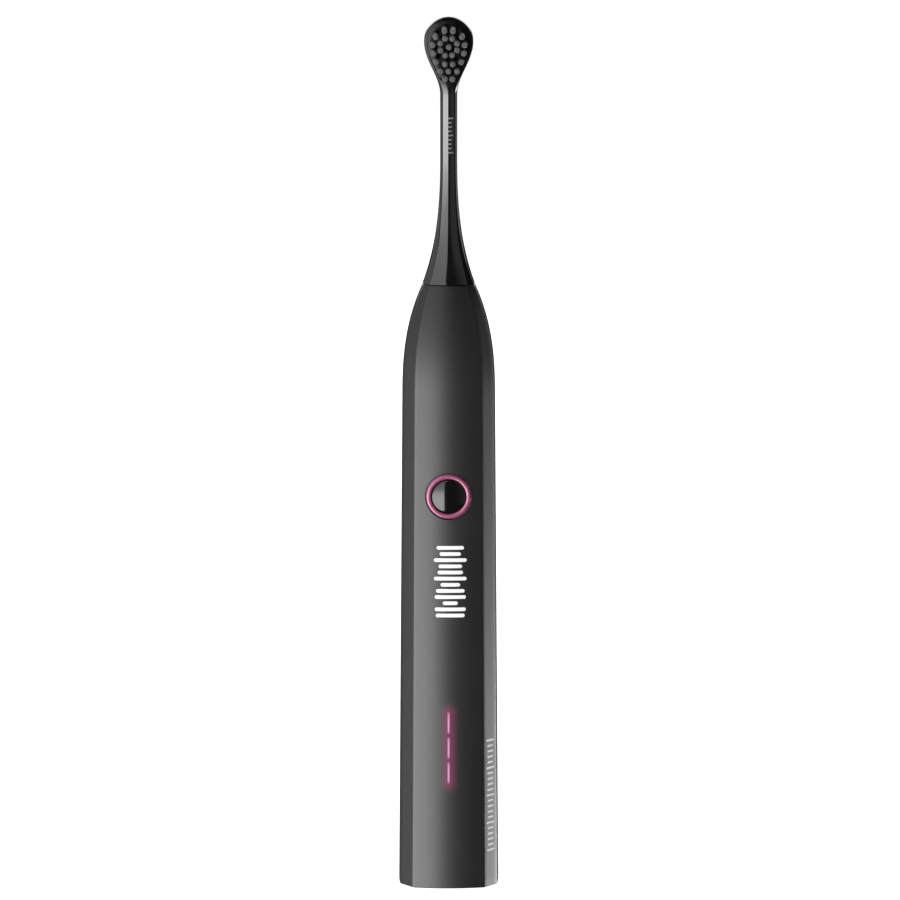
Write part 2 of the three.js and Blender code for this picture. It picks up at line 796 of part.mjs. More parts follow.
function addBase() {
  add('housing', housing(), handleBlack);
  add('base_cap', baseCap(), handleBlack);
  add('base_seal', baseSeal(), rubberBlack);
  add('coil_bobbin', coilBobbin(), innerPlastic);
  add('charge_coil', chargeCoil(), copper);
  add('ferrite_shield', bar(SHIELD.radius, SHIELD.bottom, SHIELD.top, FINE), ferriteGrey);
}

function addElectronics() {
  const { radius, bottom, length, back, terminal, terminalTop } = BATTERY;
  const [lowTab, highTab] = tabHeights();
  add('chassis', chassis(), innerPlastic);
  add('battery_cell', bar(radius, bottom, bottom + length, FINE).translate(0, back, 0), cellGreen);
  add('battery_terminal', bar(terminal, bottom + length + 0.05, terminalTop).translate(0, back, 0), nickel);
  add('battery_tab_negative', batteryTab(lowTab), nickel);
  add('battery_tab_positive', batteryTab(highTab), nickel);
  add('circuit_board', circuitBoard(), boardGreen);
  add('board_screw_lower', boardScrew(BOARD_SCREW.heights[0]), steel);
  add('board_screw_upper', boardScrew(BOARD_SCREW.heights[1]), steel);
  add('charger_chip', boardBlock(CHIPS.charger), chipBlack);
  add('inductor', boardBlock(CHIPS.inductor), ferriteGrey);
  add('controller_chip', boardBlock(CHIPS.controller), chipBlack);
  add('capacitor', boardBlock(CHIPS.capacitor), nickel);
  add('coil_wire_left', wire(WIRE.coil, -1), wireRed);
  add('coil_wire_right', wire(WIRE.coil, 1), wireRed);
  add('motor_wire_left', wire(WIRE.motor, -1), wireRed);
  add('motor_wire_right', wire(WIRE.motor, 1), wireRed);
}

function addControls() {
  const { inner, outer, front, back } = BUTTON_SEAL;
  const plunger = intoFace(bar(SWITCH.pin, SWITCH.pinFront, SWITCH.pinBack), BUTTON.height);
  add('button_bezel', buttonBezel(), pinkMetal);
  add('button_seal', intoFace(ring(inner, outer, front, back, FINE), BUTTON.height), rubberBlack);
  add('power_button', powerButton(), glossBlack);
  add('switch_plunger', plunger, darkPlastic);
  add('tact_switch', tactSwitch(), steel);
  add('light_guide', lightGuide(), clearPlastic);
  lightHeights().forEach((height, i) => {
    add(`light_window_${i + 1}`, lightWindow(height), pinkLight);
    add(`light_diode_${i + 1}`, boardBlock({ height, ...LIGHT.diode }), clearPlastic);
  });
}

function addDrive() {
  const { bottom, top, radius, bore, plate, plateGap } = MOTOR;
  const lower = bottom - plateGap - plate;
  const upper = top + plateGap;
  add('motor_can', ring(bore, radius, bottom, top, FINE), steel);
  add('motor_damper', ring(DAMPER.inner, DAMPER.outer, DAMPER.bottom, DAMPER.top, FINE), rubberBlack);
  add('motor_lower_plate', endPlate(lower), ironGrey);
  add('motor_upper_plate', endPlate(upper), ironGrey);
  add('lower_bearing', bearing(lower), copper);
  add('upper_bearing', bearing(upper), copper);
  add('stator_core', statorCore(), ironGrey);
  add('winding_left', winding(-1), copper);
  add('winding_right', winding(1), copper);
  add('drive_shaft', driveShaft(), steel);
  add('rotor_yoke', rotorYoke(), ironGrey);
  add('magnet_left', magnet(TAU / 2), nickel);
  add('magnet_right', magnet(0), nickel);
  add('spring_anchor', springAnchor(), steel);
  add('torsion_spring', box(
    [-SPRING.half, SPRING.half],
    [-SPRING.thick, SPRING.thick],
    [SPRING.bottom, SPRING.top],
  ), steel);
  add('shaft_seal', shaftSeal(), rubberBlack);
  add('seal_retainer', ring(RETAINER.bore, RETAINER.radius, RETAINER.bottom, RETAINER.top), darkPlastic);
}

function addBrush() {
  add('brush_neck', brushNeck(), glossBlack);
  add('socket_insert', ring(INSERT.bore, INSERT.outer, INSERT.bottom, INSERT.top), innerPlastic);
  add('retaining_clip', retainingClip(), steel);
  add('bristle_plate', bristlePlate(), bristleGrey);
}

addBase();
addElectronics();
addControls();
addDrive();
addBrush();

export default toothbrush;
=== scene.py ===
"""The looks of a sonic toothbrush that stands on its base.

Sizes are in millimetres, in the model's frame, and become metres in mesh_piece(). +Z runs up the
handle, and the front, with the button and the bristles, faces -Y.
"""

import json
import random
from math import atan2, ceil, copysign, cos, hypot, pi, radians, sin, sqrt, tan

import bmesh
import bpy
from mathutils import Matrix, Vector


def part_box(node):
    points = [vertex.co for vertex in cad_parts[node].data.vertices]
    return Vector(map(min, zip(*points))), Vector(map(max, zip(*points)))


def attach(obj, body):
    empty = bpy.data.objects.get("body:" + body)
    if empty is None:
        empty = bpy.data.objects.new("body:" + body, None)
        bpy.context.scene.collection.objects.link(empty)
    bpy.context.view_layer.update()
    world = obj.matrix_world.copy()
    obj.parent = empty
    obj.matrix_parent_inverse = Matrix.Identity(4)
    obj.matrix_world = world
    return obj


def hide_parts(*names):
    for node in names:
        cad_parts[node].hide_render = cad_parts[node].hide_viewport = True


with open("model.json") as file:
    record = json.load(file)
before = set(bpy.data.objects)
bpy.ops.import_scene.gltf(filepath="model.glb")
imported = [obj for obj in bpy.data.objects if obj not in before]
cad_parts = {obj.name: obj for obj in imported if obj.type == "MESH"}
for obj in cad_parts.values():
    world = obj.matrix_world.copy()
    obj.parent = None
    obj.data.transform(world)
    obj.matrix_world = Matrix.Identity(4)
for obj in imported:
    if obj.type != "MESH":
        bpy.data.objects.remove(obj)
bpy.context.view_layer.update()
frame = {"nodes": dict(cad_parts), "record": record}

MM = 0.001
TAU = 2 * pi


def corners(node):
    """A CAD node's lowest and highest corners, in millimetres."""
    low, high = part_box(node)
    return low / MM, high / MM


# ---- driving sizes

HANDLE_TOP = corners("housing")[1].z
TAPER = 0.0078  # half-width lost for each millimetre of height
BASE_HALF = corners("housing")[1].x + 0.3 * TAPER
SHOULDER = 143.0  # the shoulder curves in above this height
SHOULDER_DROP = 5.7
SHOULDER_POWER = 2.5
WALL = 1.8
BASE_EDGE = 0.25  # radius of the bottom edge
TOP_EDGE = 0.1
CAVITY_TOP = 165.0
NOSE_BORE = 4.7

# The eight-sided outline, as shares of its half-width.
FACE_HALF = 0.712
FACE_BOW = 0.08
SIDE_HALF = 0.597
SIDE_BOW = 0.025
EASE = 0.026  # how far each corner is rounded
SIDE_EASE = 0.05

BUTTON_Z = (corners("button_bezel")[0].z + corners("button_bezel")[1].z) / 2
POCKET = 6.7
POCKET_FLOOR = -12.6
BUTTON_HOLE = 5.3
RELIEF = 7.1
RELIEF_FLOOR = -11.7
PATCH = 8.2  # half the height of the stretch of shell round the button

SLOT_HALF = 0.45
WINDOWS = [corners(f"light_window_{i}") for i in (1, 2, 3)]

# The brush: distances along are measured up the neck's centre line.
BRUSH_BOTTOM = corners("brush_neck")[0].z
NECK_HALF = 2.43
NECK_BOTTOM = 211.2
FLARE_POWER = 2.65
ROUND_FROM = 192.0
BEND_BOTTOM = 206.0
BEND_TOP = 222.0
TILT = radians(6)
HEAD_CENTRE = 243.4
HEAD_RADIUS = 6.95
HEAD_THICK = 2.1
HEAD_EDGE = 1.6
HEAD_SQUARE = 10  # how flat its face is and how tight its rim: 0 would be an ellipse
HEAD_LENGTH = 15.4  # from its centre down to where it has narrowed to the neck
PLATE_INSET = 0.8
PLATE_BACK = 1.1
PLATE_FRONT = 1.75
SATIN_FROM = 227.3  # the polished neck turns satin from this height
SATIN_TO = 231.6
TUFT_RADIUS = 0.76
TUFT_TIP = 8.6
MIDDLE_TUFT = -0.3
TUFT_RING = 2.56
TUFT_PAIRS = [(1.2, 4.5), (3.65, 2.8), (4.5, 0.5), (4.25, -1.85), (3.6, -4.3), (1.1, -4.9), (2.35, -6.95),
              (1.05, -9.15)]
TUFT_TAIL = -6.95


def lerp(a, b, t):
    return a + (b - a) * t


def clamp(value, low=0.0, high=1.0):
    return max(low, min(high, value))


def spread(start, stop, step):
    """Evenly spaced numbers from start to just before stop, no more than a step apart."""
    count = max(1, ceil(abs(stop - start) / step))
    return [lerp(start, stop, i / count) for i in range(count)]


def arc(count, turn=TAU / 4):
    """The cosine and sine of each angle from 0 to a turn, in a number of even steps."""
    angles = [turn * k / count for k in range(count + 1)]
    return [(cos(a), sin(a)) for a in angles]


# ---- mesh tools


def add_object(name, data):
    item = bpy.data.objects.new(name, data)
    bpy.context.scene.collection.objects.link(item)
    return item


def smooth(mesh, sharp=35):
    """Smooth shading, but for edges over an angle in degrees."""
    mesh.shade_smooth()
    mesh.set_sharp_from_angle(angle=radians(sharp))


def mesh_piece(name, bm, body, sharp=35):
    """A piece made of a bmesh in millimetres, smooth but for edges over an angle."""
    bmesh.ops.delete(bm, geom=[v for v in bm.verts if not v.link_faces], context="VERTS")
    bmesh.ops.recalc_face_normals(bm, faces=bm.faces)
    bmesh.ops.scale(bm, vec=(MM,) * 3, verts=bm.verts)
    mesh = bpy.data.meshes.new(name)
    bm.to_mesh(mesh)
    bm.free()
    smooth(mesh, sharp)
    piece = add_object(name, mesh)
    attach(piece, body)
    return piece


def row(bm, points):
    return [bm.verts.new(p) for p in points]


def bridge(bm, first, second, skip=()):
    """Quads between two closed rows, but for the columns to skip."""
    count = len(first)
    for i in range(count):
        j = (i + 1) % count
        if i not in skip:
            bm.faces.new((first[i], first[j], second[j], second[i]))


def loft(bm, rows, capped=False):
    """Joins closed rows in turn, with a face over each end if capped."""
    for first, second in zip(rows, rows[1:]):
        bridge(bm, first, second)
    if capped:
        bm.faces.new(rows[0])
        bm.faces.new(rows[-1])


def lofted(name, rings, body):
    """A piece through closed rings of points, with a face over each end."""
    bm = bmesh.new()
    loft(bm, [row(bm, ring) for ring in rings], capped=True)
    return mesh_piece(name, bm, body)


def fan(bm, rim, tip):
    """Closes a row to one point."""
    centre = bm.verts.new(tip)
    for i, vertex in enumerate(rim):
        bm.faces.new((vertex, rim[(i + 1) % len(rim)], centre))


def bend(start, corner, end, steps=4):
    """A rounded corner's points, its two ends among them."""
    start, corner, end = Vector(start), Vector(corner), Vector(end)
    shares = [k / steps for k in range(steps + 1)]
    return [start.lerp(corner, t).lerp(corner.lerp(end, t), t) for t in shares]


def soften(profile, radius):
    """A profile with rounded corners, but for the ends of one that starts on the axis."""
    out = []
    for i, point in enumerate(profile):
        corner = Vector(point)
        if profile[0][0] == 0 and i in (0, len(profile) - 1):
            out.append(corner)
            continue
        ways = [Vector(other) - corner for other in (profile[i - 1], profile[(i + 1) % len(profile)])]
        start, end = (corner + way.normalized() * min(radius, 0.45 * way.length) for way in ways)
        out += bend(start, corner, end, 3)
    return out


def turned(name, profile, body, axis="Z", centre=(0.0, 0.0), sides=96):
    """A turned piece of (radius, place along the axis) points, on an axis through a centre.

    A profile that starts on the axis makes a solid piece, and any other is closed into a ring.
    """
    bm = bmesh.new()
    rows = []
    for radius, along in profile:
        ring = [(radius * c + centre[0], radius * s + centre[1]) for c, s in arc(sides, TAU)[:-1]]
        rows.append(row(bm, [(u, v, along) if axis == "Z" else (u, along, v) for u, v in ring]))
    loft(bm, rows + rows[:1] if profile[0][0] else rows)
    bmesh.ops.remove_doubles(bm, verts=bm.verts, dist=1e-5)
    return mesh_piece(name, bm, body)


# ---- the eight-sided outline


def face_depth(x):
    return -1 + FACE_BOW * (x / FACE_HALF) ** 2


def side_reach(y):
    return 1 - SIDE_BOW * (y / SIDE_HALF) ** 2


FRONT_CORNER = Vector((FACE_HALF, face_depth(FACE_HALF)))
SIDE_CORNER = Vector((side_reach(SIDE_HALF), -SIDE_HALF))
SLOT = 0.032  # half the width between the columns at the windows, where nothing else sets it


def face_columns(slot=SLOT):
    """Places across the front face, with a pair at the window slots' edges."""
    right = [slot, *spread(0.08, 0.6, 0.065), 0.6, 0.65, FACE_HALF - EASE]
    return [-x for x in reversed(right)] + right


def outline(slot=SLOT):
    """The outline at a half-width of 1, anticlockwise from the left of the front face."""
    along = (SIDE_CORNER - FRONT_CORNER).normalized()
    facet_start, facet_end = FRONT_CORNER + along * EASE, SIDE_CORNER - along * SIDE_EASE
    face_end, side_end = FACE_HALF - EASE, SIDE_HALF - SIDE_EASE
    quarter = bend((face_end, face_depth(face_end)), FRONT_CORNER, facet_start)[1:]
    quarter += [facet_start.lerp(facet_end, t) for t in (0.25, 0.5, 0.75)]
    quarter += bend(facet_end, SIDE_CORNER, (side_reach(side_end), -side_end))
    face = [Vector((x, face_depth(x))) for x in face_columns(slot)]
    side = [Vector((side_reach(y), y)) for y in spread(-side_end, side_end, 0.09)[1:]]
    half = face + quarter + side + [Vector((p.x, -p.y)) for p in reversed(quarter)]
    return half + [-p for p in half]


COLUMNS = len(face_columns())


def handle_half(z):
    rise = max(0.0, (z - SHOULDER) / (HANDLE_TOP - SHOULDER))
    return BASE_HALF - TAPER * z - SHOULDER_DROP * rise**SHOULDER_POWER


def outline_row(bm, half, z, shape):
    return row(bm, [(p.x * half, p.y * half, z) for p in shape])


def circle_row(bm, radius, z, shape):
    """A round row whose vertices stand at the outline's own angles."""
    return row(bm, [(*(p.normalized() * radius), z) for p in shape])


# ---- handle shell


def outer_depth(x, z, wall=0.0):
    half = handle_half(z) - wall
    return half * face_depth(x / half)


def inner_depth(x, z):
    return outer_depth(x, z, WALL)


def shell_heights():
    """Heights of the shell's rows below the nose, with one at each opening's ends."""
    slots = [z for low, high in WINDOWS for z in (low.z - 0.05, high.z + 0.05)]
    coarse, fine = 2.5, 1.4
    stretches = [(2.5, slots[0], coarse), *((low, high, fine) for low, high in zip(slots, slots[1:]))]
    stretches += [
        (slots[-1], BUTTON_Z - PATCH, coarse), (BUTTON_Z - PATCH, BUTTON_Z + PATCH, 1.37),
        (BUTTON_Z + PATCH, SHOULDER, coarse), (SHOULDER, CAVITY_TOP, 1.2),
    ]
    return [z for stretch in stretches for z in spread(*stretch)] + [CAVITY_TOP], slots


def block_edge(rows, low, high, left, right):
    """The vertices round a block of rows and columns, anticlockwise from its lower left."""
    edge = [rows[low][c] for c in range(left, right)]
    edge += [rows[r][right] for r in range(low, high)]
    edge += [rows[high][c] for c in range(right, left, -1)]
    return edge + [rows[r][left] for r in range(high, low, -1)]


def rings_to_circle(bm, edge, radius, depth_at, count=6):
    """Fills from a block's edge to a circle round the button, and returns the circle."""
    rows = [edge]
    for k in range(1, count + 1):
        ring = []
        for vertex in edge:
            x, z = vertex.co.x, vertex.co.z - BUTTON_Z
            scale = lerp(1, radius / hypot(x, z), k / count)
            x, z = x * scale, z * scale + BUTTON_Z
            ring.append((x, depth_at(x, z), z))
        rows.append(row(bm, ring))
    loft(bm, rows)
    return rows[-1]


def button_ring(bm, previous, radius, depth):
    """Joins a ring round the button to a new one, at a depth that follows its vertices."""
    ring = []
    for vertex in previous:
        way = Vector((vertex.co.x, vertex.co.z - BUTTON_Z)).normalized() * radius
        ring.append((way.x, depth(vertex), way.y + BUTTON_Z))
    ring = row(bm, ring)
    bridge(bm, previous, ring)
    return ring


def button_opening(bm, outer_edge, inner_edge):
    """The recess that the metal ring sits in, the hole and the relief behind it."""
    lip = 0.07
    ring = rings_to_circle(bm, outer_edge, POCKET + lip, outer_depth)
    for radius, sink in ((POCKET + 0.03, 0.04), (POCKET, lip)):
        ring = button_ring(bm, ring, radius, lambda vertex: vertex.co.y + sink)
    for radius, floor in ((POCKET, POCKET_FLOOR), (BUTTON_HOLE, POCKET_FLOOR), (BUTTON_HOLE, RELIEF_FLOOR),
                          (RELIEF, RELIEF_FLOOR)):
        ring = button_ring(bm, ring, radius, lambda vertex: floor)
    bridge(bm, ring, rings_to_circle(bm, inner_edge, RELIEF, inner_depth, 2))


def shell_rows(bm, shape, heights, inset, holes):
    """Rows of the shell at the heights, moved in by an inset, open at the holes."""
    rows = [outline_row(bm, handle_half(z) - inset, z, shape) for z in heights]
    for i, (first, second) in enumerate(zip(rows, rows[1:])):
        skip = {c for low, high, left, right in holes if low <= i < high for c in range(left, right)}
        bridge(bm, first, second, skip)
    return rows


def eased_end(bm, end, edge, steps, shape):
    """Rows round the shell's edge at one end. The radius is negative at the top."""
    rows = []
    for c, s in arc(steps):
        z = end + edge * (1 - s)
        rows.append(outline_row(bm, handle_half(z) - abs(edge) * (1 - c), z, shape))
    return rows


def make_housing():
    bm = bmesh.new()
    heights, slots = shell_heights()
    blocks = [(BUTTON_Z - PATCH, BUTTON_Z + PATCH, 1, COLUMNS - 2)]
    middle = COLUMNS // 2
    blocks += [(low, high, middle - 1, middle) for low, high in zip(slots[::2], slots[1::2])]
    holes = [(heights.index(low), heights.index(high), *sides) for low, high, *sides in blocks]
    outside = outline(SLOT_HALF / handle_half(slots[0]))
    inside = outline(SLOT_HALF / (handle_half(slots[0]) - WALL))
    outer = shell_rows(bm, outside, heights, 0, holes)
    inner = shell_rows(bm, inside, heights, WALL, holes)
    button, *windows = ((block_edge(outer, *hole), block_edge(inner, *hole)) for hole in holes)
    button_opening(bm, *button)
    for window in windows:
        bridge(bm, *window)

    bevel = 0.2  # of the wall's inner edge at the base
    base = [(BASE_HALF - WALL + bevel, 0), (BASE_HALF - WALL, bevel)]
    base_rows = eased_end(bm, 0, BASE_EDGE, 6, outside)
    base_rows += [outline_row(bm, half, z, inside) for half, z in base]
    loft(bm, [outer[0], *base_rows, inner[0]])

    bevel = 0.3  # of the nose's bore
    nose = [(NOSE_BORE + bevel, HANDLE_TOP), (NOSE_BORE, HANDLE_TOP - bevel), (NOSE_BORE, CAVITY_TOP)]
    heights = spread(CAVITY_TOP, HANDLE_TOP - TOP_EDGE, 1.0)[1:]
    nose_rows = [outline_row(bm, handle_half(z), z, outside) for z in heights]
    nose_rows += eased_end(bm, HANDLE_TOP, -TOP_EDGE, 4, outside)
    nose_rows += [circle_row(bm, radius, z, inside) for radius, z in nose]
    loft(bm, [outer[-1], *nose_rows, inner[-1]])
    piece = mesh_piece("shell", bm, "handle")
    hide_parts("housing")
    return piece


def make_base_cap():
    """The cap that closes the base: a plate with a charging well, inside a short spigot."""
    high = corners("base_cap")[1]
    plate, plate_top = high.x, 2.2
    spigot, spigot_bore, spigot_top = 11.2, 10.2, 6.0
    well, well_edge, post, roof = 4.5, 0.4, 5.7, high.z - 1.2
    corner = 0.35  # of the plate's lower edge
    disc, sides = circle_row, outline_row
    profile = [
        (disc, well, roof), (disc, well, well_edge), (disc, well + 0.12, 0.12),
        (disc, well + well_edge, 0.0), (disc, plate - 1.2, 0.0), (sides, plate - corner, 0.0),
        (sides, plate - 0.1, 0.1), (sides, plate, corner), (sides, plate, plate_top),
        (sides, spigot, plate_top), (sides, spigot, spigot_top), (disc, spigot_bore, spigot_top),
        (disc, spigot_bore, plate_top), (disc, post, plate_top), (disc, post, high.z),
    ]
    shape = outline()
    bm = bmesh.new()
    rows = [make_row(bm, size, z, shape) for make_row, size, z in profile]
    loft(bm, rows)
    fan(bm, rows[0], (0, 0, roof))
    fan(bm, rows[-1], (0, 0, high.z))
    piece = mesh_piece("cap_of_base", bm, "handle")
    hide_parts("base_cap")
    return piece


# ---- button and lights


AT_BUTTON = {"axis": "Y", "centre": (0, BUTTON_Z)}  # where the button's round pieces are turned


def make_bezel():
    """The metal ring: a low crown between steep bevels, with a narrow groove round it."""
    low, high = corners("button_bezel")
    outer, back, front = high.x, high.y, low.y
    edge = outer - 0.17
    profile = [(4.93, back), (outer, back), (outer, front + 0.7), (edge, front + 0.7), (edge, front + 0.36)]
    profile += bend((edge - 0.01, front + 0.3), (edge - 0.04, front + 0.12), (edge - 0.16, front + 0.06))[1:]
    crown_outer, crown_inner, crown = edge - 0.2, 5.24, 0.05
    for share in (k / 10 for k in range(11)):
        profile.append((lerp(crown_outer, crown_inner, share), front + crown * (2 * share - 1) ** 2))
    profile += [(5.17, front + 0.1), (5.02, front + 0.3), (4.93, front + 0.6)]
    piece = turned("button_ring", profile, "handle", **AT_BUTTON, sides=160)
    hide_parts("button_bezel")
    return piece


def make_button():
    """The glossy cap, a little crowned, with its flange and stem behind the shell."""
    low, high = corners("power_button")
    cap, crown, front = 4.78, 0.6, low.y
    rim = front + crown
    profile = [Vector((cap * k / 16, front + crown * (k / 16) ** 2)) for k in range(16)]
    profile += bend((cap - 0.22, rim - 0.035), (cap, rim), (cap, rim + 0.3))
    profile += [(cap, -11.4), (5.6, -11.4), (5.6, -10.8), (1.25, -10.8), (1.25, high.y), (0, high.y)]
    piece = turned("button_cap", profile, "button", **AT_BUTTON, sides=160)
    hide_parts("power_button")
    return piece


def make_window(i, low, high):
    """One lit bar, flush with the shell's face, with small rounded edges."""
    size, middle = (high - low) / 2, (low + high) / 2
    rings = []
    for inset, y in ((0, high.y), (0, low.y + 0.14), (0.04, low.y + 0.06), (0.12, low.y + 0.03)):
        x, bottom, top = size.x - inset, middle.z - size.z + inset, middle.z + size.z - inset
        rings.append([(-x, y, bottom), (x, y, bottom), (x, y, top), (-x, y, top)])
    piece = lofted(f"lit_bar_{i}", rings, "handle")
    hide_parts(f"light_window_{i}")
    return piece


# An ink bar's section: the side of the bar, and the rise over the surface in millimetres.
INK_SECTION = [(-1, 0.03), (1, 0.03), (1, -0.02), (-1, -0.02)]


def ink_bar(name, body, columns, place):
    """A bar of raised ink, through (along, half height) columns, laid down by place()."""
    rings = [[place(along, side * half, rise) for side, rise in INK_SECTION] for along, half in columns]
    return lofted(name, rings, body)


def make_print_bar(name, z, width):
    """A bar with round ends, wrapped on the front face."""
    middle, radius = 0.45, 0.525
    reach = width / 2 - radius
    end = [(reach + radius * c, radius * s) for c, s in arc(6)[1:]]
    columns = [(-along, half) for along, half in end]
    columns += [(along, radius) for along in spread(-reach, reach, 0.5)[1:]]

    def place(along, up, rise):
        return middle + along, outer_depth(middle + along, z + up) - rise, z + up

    return ink_bar(name, "handle", [*columns, *reversed(end)], place)


def make_print():
    """A plain wave of white bars below the button."""
    low, high, count, narrowest, swing = 79.2, 100.6, 12, 4.2, 5.2
    bars = []
    for i in range(count):
        width = narrowest + swing * abs(sin(0.9 + 1.13 * i))
        bars.append(make_print_bar(f"print_bar_{i + 1:02d}", lerp(low, high, (i + 0.5) / count), width))
    return bars


def make_tick(name, z, length):
    """A small bar across the middle of the right-hand front facet."""
    half = handle_half(z)
    start, end = FRONT_CORNER * half, SIDE_CORNER * half
    way = (end - start).normalized()
    out = Vector((way.y, -way.x))
    thick, thin = 0.3, 0.135  # half its height, along it and at its ends
    columns = [(-0.5, thin), (-0.42, thick), (0.42, thick), (0.5, thin)]

    def place(share, up, rise):
        at = start.lerp(end, 0.5) + way * (share * length) + out * rise
        return at.x, at.y, z + up

    return ink_bar(name, "handle", columns, place)


def make_neck_tick(name, along, width):
    """A tiny bar wrapped on the round neck, from just left of its middle to the right."""
    left, half_height, sunk, steps = -0.1, 0.25, 0.01, 5
    columns = [(left + width * k / steps, half_height) for k in range(steps + 1)]

    def place(x, up, rise):
        return on_spine(along + up, x, sqrt(NECK_HALF**2 - x**2) + rise - sunk)

    return ink_bar(name, "brush", columns, place)


def make_scale(make, name, low, high, count, every, long, short):
    """A plain scale of ticks between two heights, with a long one at every so many."""
    places = [lerp(low, high, i / (count - 1)) for i in range(count)]
    return [make(name.format(i + 1), z, short if i % every else long) for i, z in enumerate(places)]


# ---- brush neck and head


def spine(along):
    """A point of the neck's centre line, and its lean to the front there."""
    radius = (BEND_TOP - BEND_BOTTOM) / TILT
    angle = clamp((along - BEND_BOTTOM) / radius, 0.0, TILT)
    straight = along - BEND_BOTTOM - radius * angle
    y = -radius * (1 - cos(angle)) - straight * sin(angle)
    z = BEND_BOTTOM + radius * sin(angle) + straight * cos(angle)
    return y, z, angle


def on_spine(along, x, front):
    y, z, angle = spine(along)
    return (x, y - front * cos(angle), z - front * sin(angle))


def in_head(x, up, front):
    """A point in the head's own frame: to the side, up the head and out of its face."""
    return on_spine(HEAD_CENTRE + up, x, front)


def brush_half(along):
    if along > HEAD_CENTRE:
        return sqrt(max(0.0, HEAD_RADIUS**2 - (along - HEAD_CENTRE) ** 2))
    if along < NECK_BOTTOM:
        share = (NECK_BOTTOM - along) / (NECK_BOTTOM - BRUSH_BOTTOM)
        return NECK_HALF + (handle_half(HANDLE_TOP) - NECK_HALF) * share**FLARE_POWER
    swing = cos(pi * clamp((HEAD_CENTRE - along) / HEAD_LENGTH))
    return NECK_HALF + (HEAD_RADIUS - NECK_HALF) * (1 + swing) / 2


def brush_thick(along):
    if along < NECK_BOTTOM:
        return brush_half(along)
    reach = along - HEAD_CENTRE - (HEAD_RADIUS - HEAD_EDGE)
    if reach > 0:
        return HEAD_THICK * sqrt(max(0.0, 1 - (reach / HEAD_EDGE) ** 2))
    share = clamp((brush_half(along) - NECK_HALF) / (HEAD_RADIUS - NECK_HALF))
    return lerp(NECK_HALF, HEAD_THICK, share)


def brush_point(p, along):
    half, thick = brush_half(along), brush_thick(along)
    angle = atan2(-p.y, p.x)
    flat = clamp((half - NECK_HALF) / (HEAD_RADIUS - NECK_HALF))
    square = 2 / (2 + HEAD_SQUARE * flat) if along > NECK_BOTTOM else 1.0
    c, s = cos(angle), sin(angle)
    side = half * copysign(abs(c) ** square, c)
    front = thick * copysign(abs(s) ** square, s)
    t = clamp((along - BRUSH_BOTTOM) / (ROUND_FROM - BRUSH_BOTTOM))
    t = t * t * (3 - 2 * t)
    return on_spine(along, lerp(half * p.x, side, t), lerp(-half * p.y, front, t))


def make_neck():
    """The moulded neck and head, with the socket for the drive shaft in its foot."""
    shape = outline()
    foot = 0.1
    bottom = BRUSH_BOTTOM - 0.15
    head_bottom = HEAD_CENTRE - HEAD_LENGTH
    along = spread(bottom + foot, NECK_BOTTOM, 0.8)
    along += spread(NECK_BOTTOM, head_bottom, 1.0)
    along += spread(head_bottom, HEAD_CENTRE, 0.45)
    along += [HEAD_CENTRE + HEAD_RADIUS * s for _, s in arc(30)[:-1]]
    bm = bmesh.new()
    roof, step, bore, seat, bevel = 189, 184, 2.8, 3.4, 0.3
    socket = [(bore, roof), (bore, step), (seat, step), (seat, bottom + bevel), (seat + bevel, bottom)]
    rows = [circle_row(bm, radius, z, shape) for radius, z in socket]
    for c, s in arc(4)[:-1]:
        rows.append(outline_row(bm, brush_half(bottom) - foot * (1 - s), bottom + foot * (1 - c), shape))
    rows += [row(bm, [brush_point(p, distance) for p in shape]) for distance in along]
    loft(bm, rows)
    fan(bm, rows[0], (0, 0, roof))
    fan(bm, rows[-1], on_spine(HEAD_CENTRE + HEAD_RADIUS, 0, 0))
    piece = mesh_piece("neck_and_head", bm, "brush")
    cut_head_pocket(piece)
    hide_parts("brush_neck")
    return piece


def head_outline(inset):
    """The tufted field's outline, moved in from the head's own."""
    length, step, squash = 10.0, 0.5, 0.55  # of its straight sides, and of its rounded foot
    right = [(brush_half(HEAD_CENTRE - down) - inset, -down) for down in spread(0, length, step)]
    end, low = right[-1]
    right += [(end * c, low - end * squash * s) for c, s in arc(8)[1:-1]]
    top = [((HEAD_RADIUS - inset) * c, (HEAD_RADIUS - inset) * s) for c, s in arc(48, TAU / 2)[1:-1]]
    left = [(-x, y) for x, y in right]
    return [*reversed(right), *top, *left, (0, right[-1][1] - 0.02)]


def head_slab(name, inset, levels):
    """A slab of the tufted field's outline, through (more inset, front) levels."""
    rings = [[in_head(x, y, front) for x, y in head_outline(inset + more)] for more, front in levels]
    return lofted(name, rings, "brush")


def modify(piece, kind, **settings):
    modifier = piece.modifiers.new(kind, kind)
    for key, value in settings.items():
        setattr(modifier, key, value)
    evaluated = piece.evaluated_get(bpy.context.evaluated_depsgraph_get())
    mesh = bpy.data.meshes.new_from_object(evaluated)
    piece.modifiers.clear()
    piece.data = mesh


def cut_head_pocket(piece):
    """Cuts the shallow pocket for the tuft plate out of the head's face."""
    cutter = head_slab("pocket_cutter", PLATE_INSET, [(0, PLATE_BACK), (0, HEAD_THICK + 1)])
    modify(piece, "BOOLEAN", operation="DIFFERENCE", object=cutter, solver="EXACT")
    bpy.data.objects.remove(cutter)


def make_plate():
    """The plate that the tufts stand in, with a little crown."""
    crown, margin = 0.12, 2.0
    levels = [(0.04, PLATE_BACK + 0.02), (0.04, PLATE_FRONT - crown - 0.1)]
    for k in range(7):
        share = k / 6
        levels.append((lerp(0.08, margin, share), PLATE_FRONT - crown * (1 - share) ** 2))
    piece = head_slab("tuft_plate", PLATE_INSET, levels)
    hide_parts("bristle_plate")
    return piece


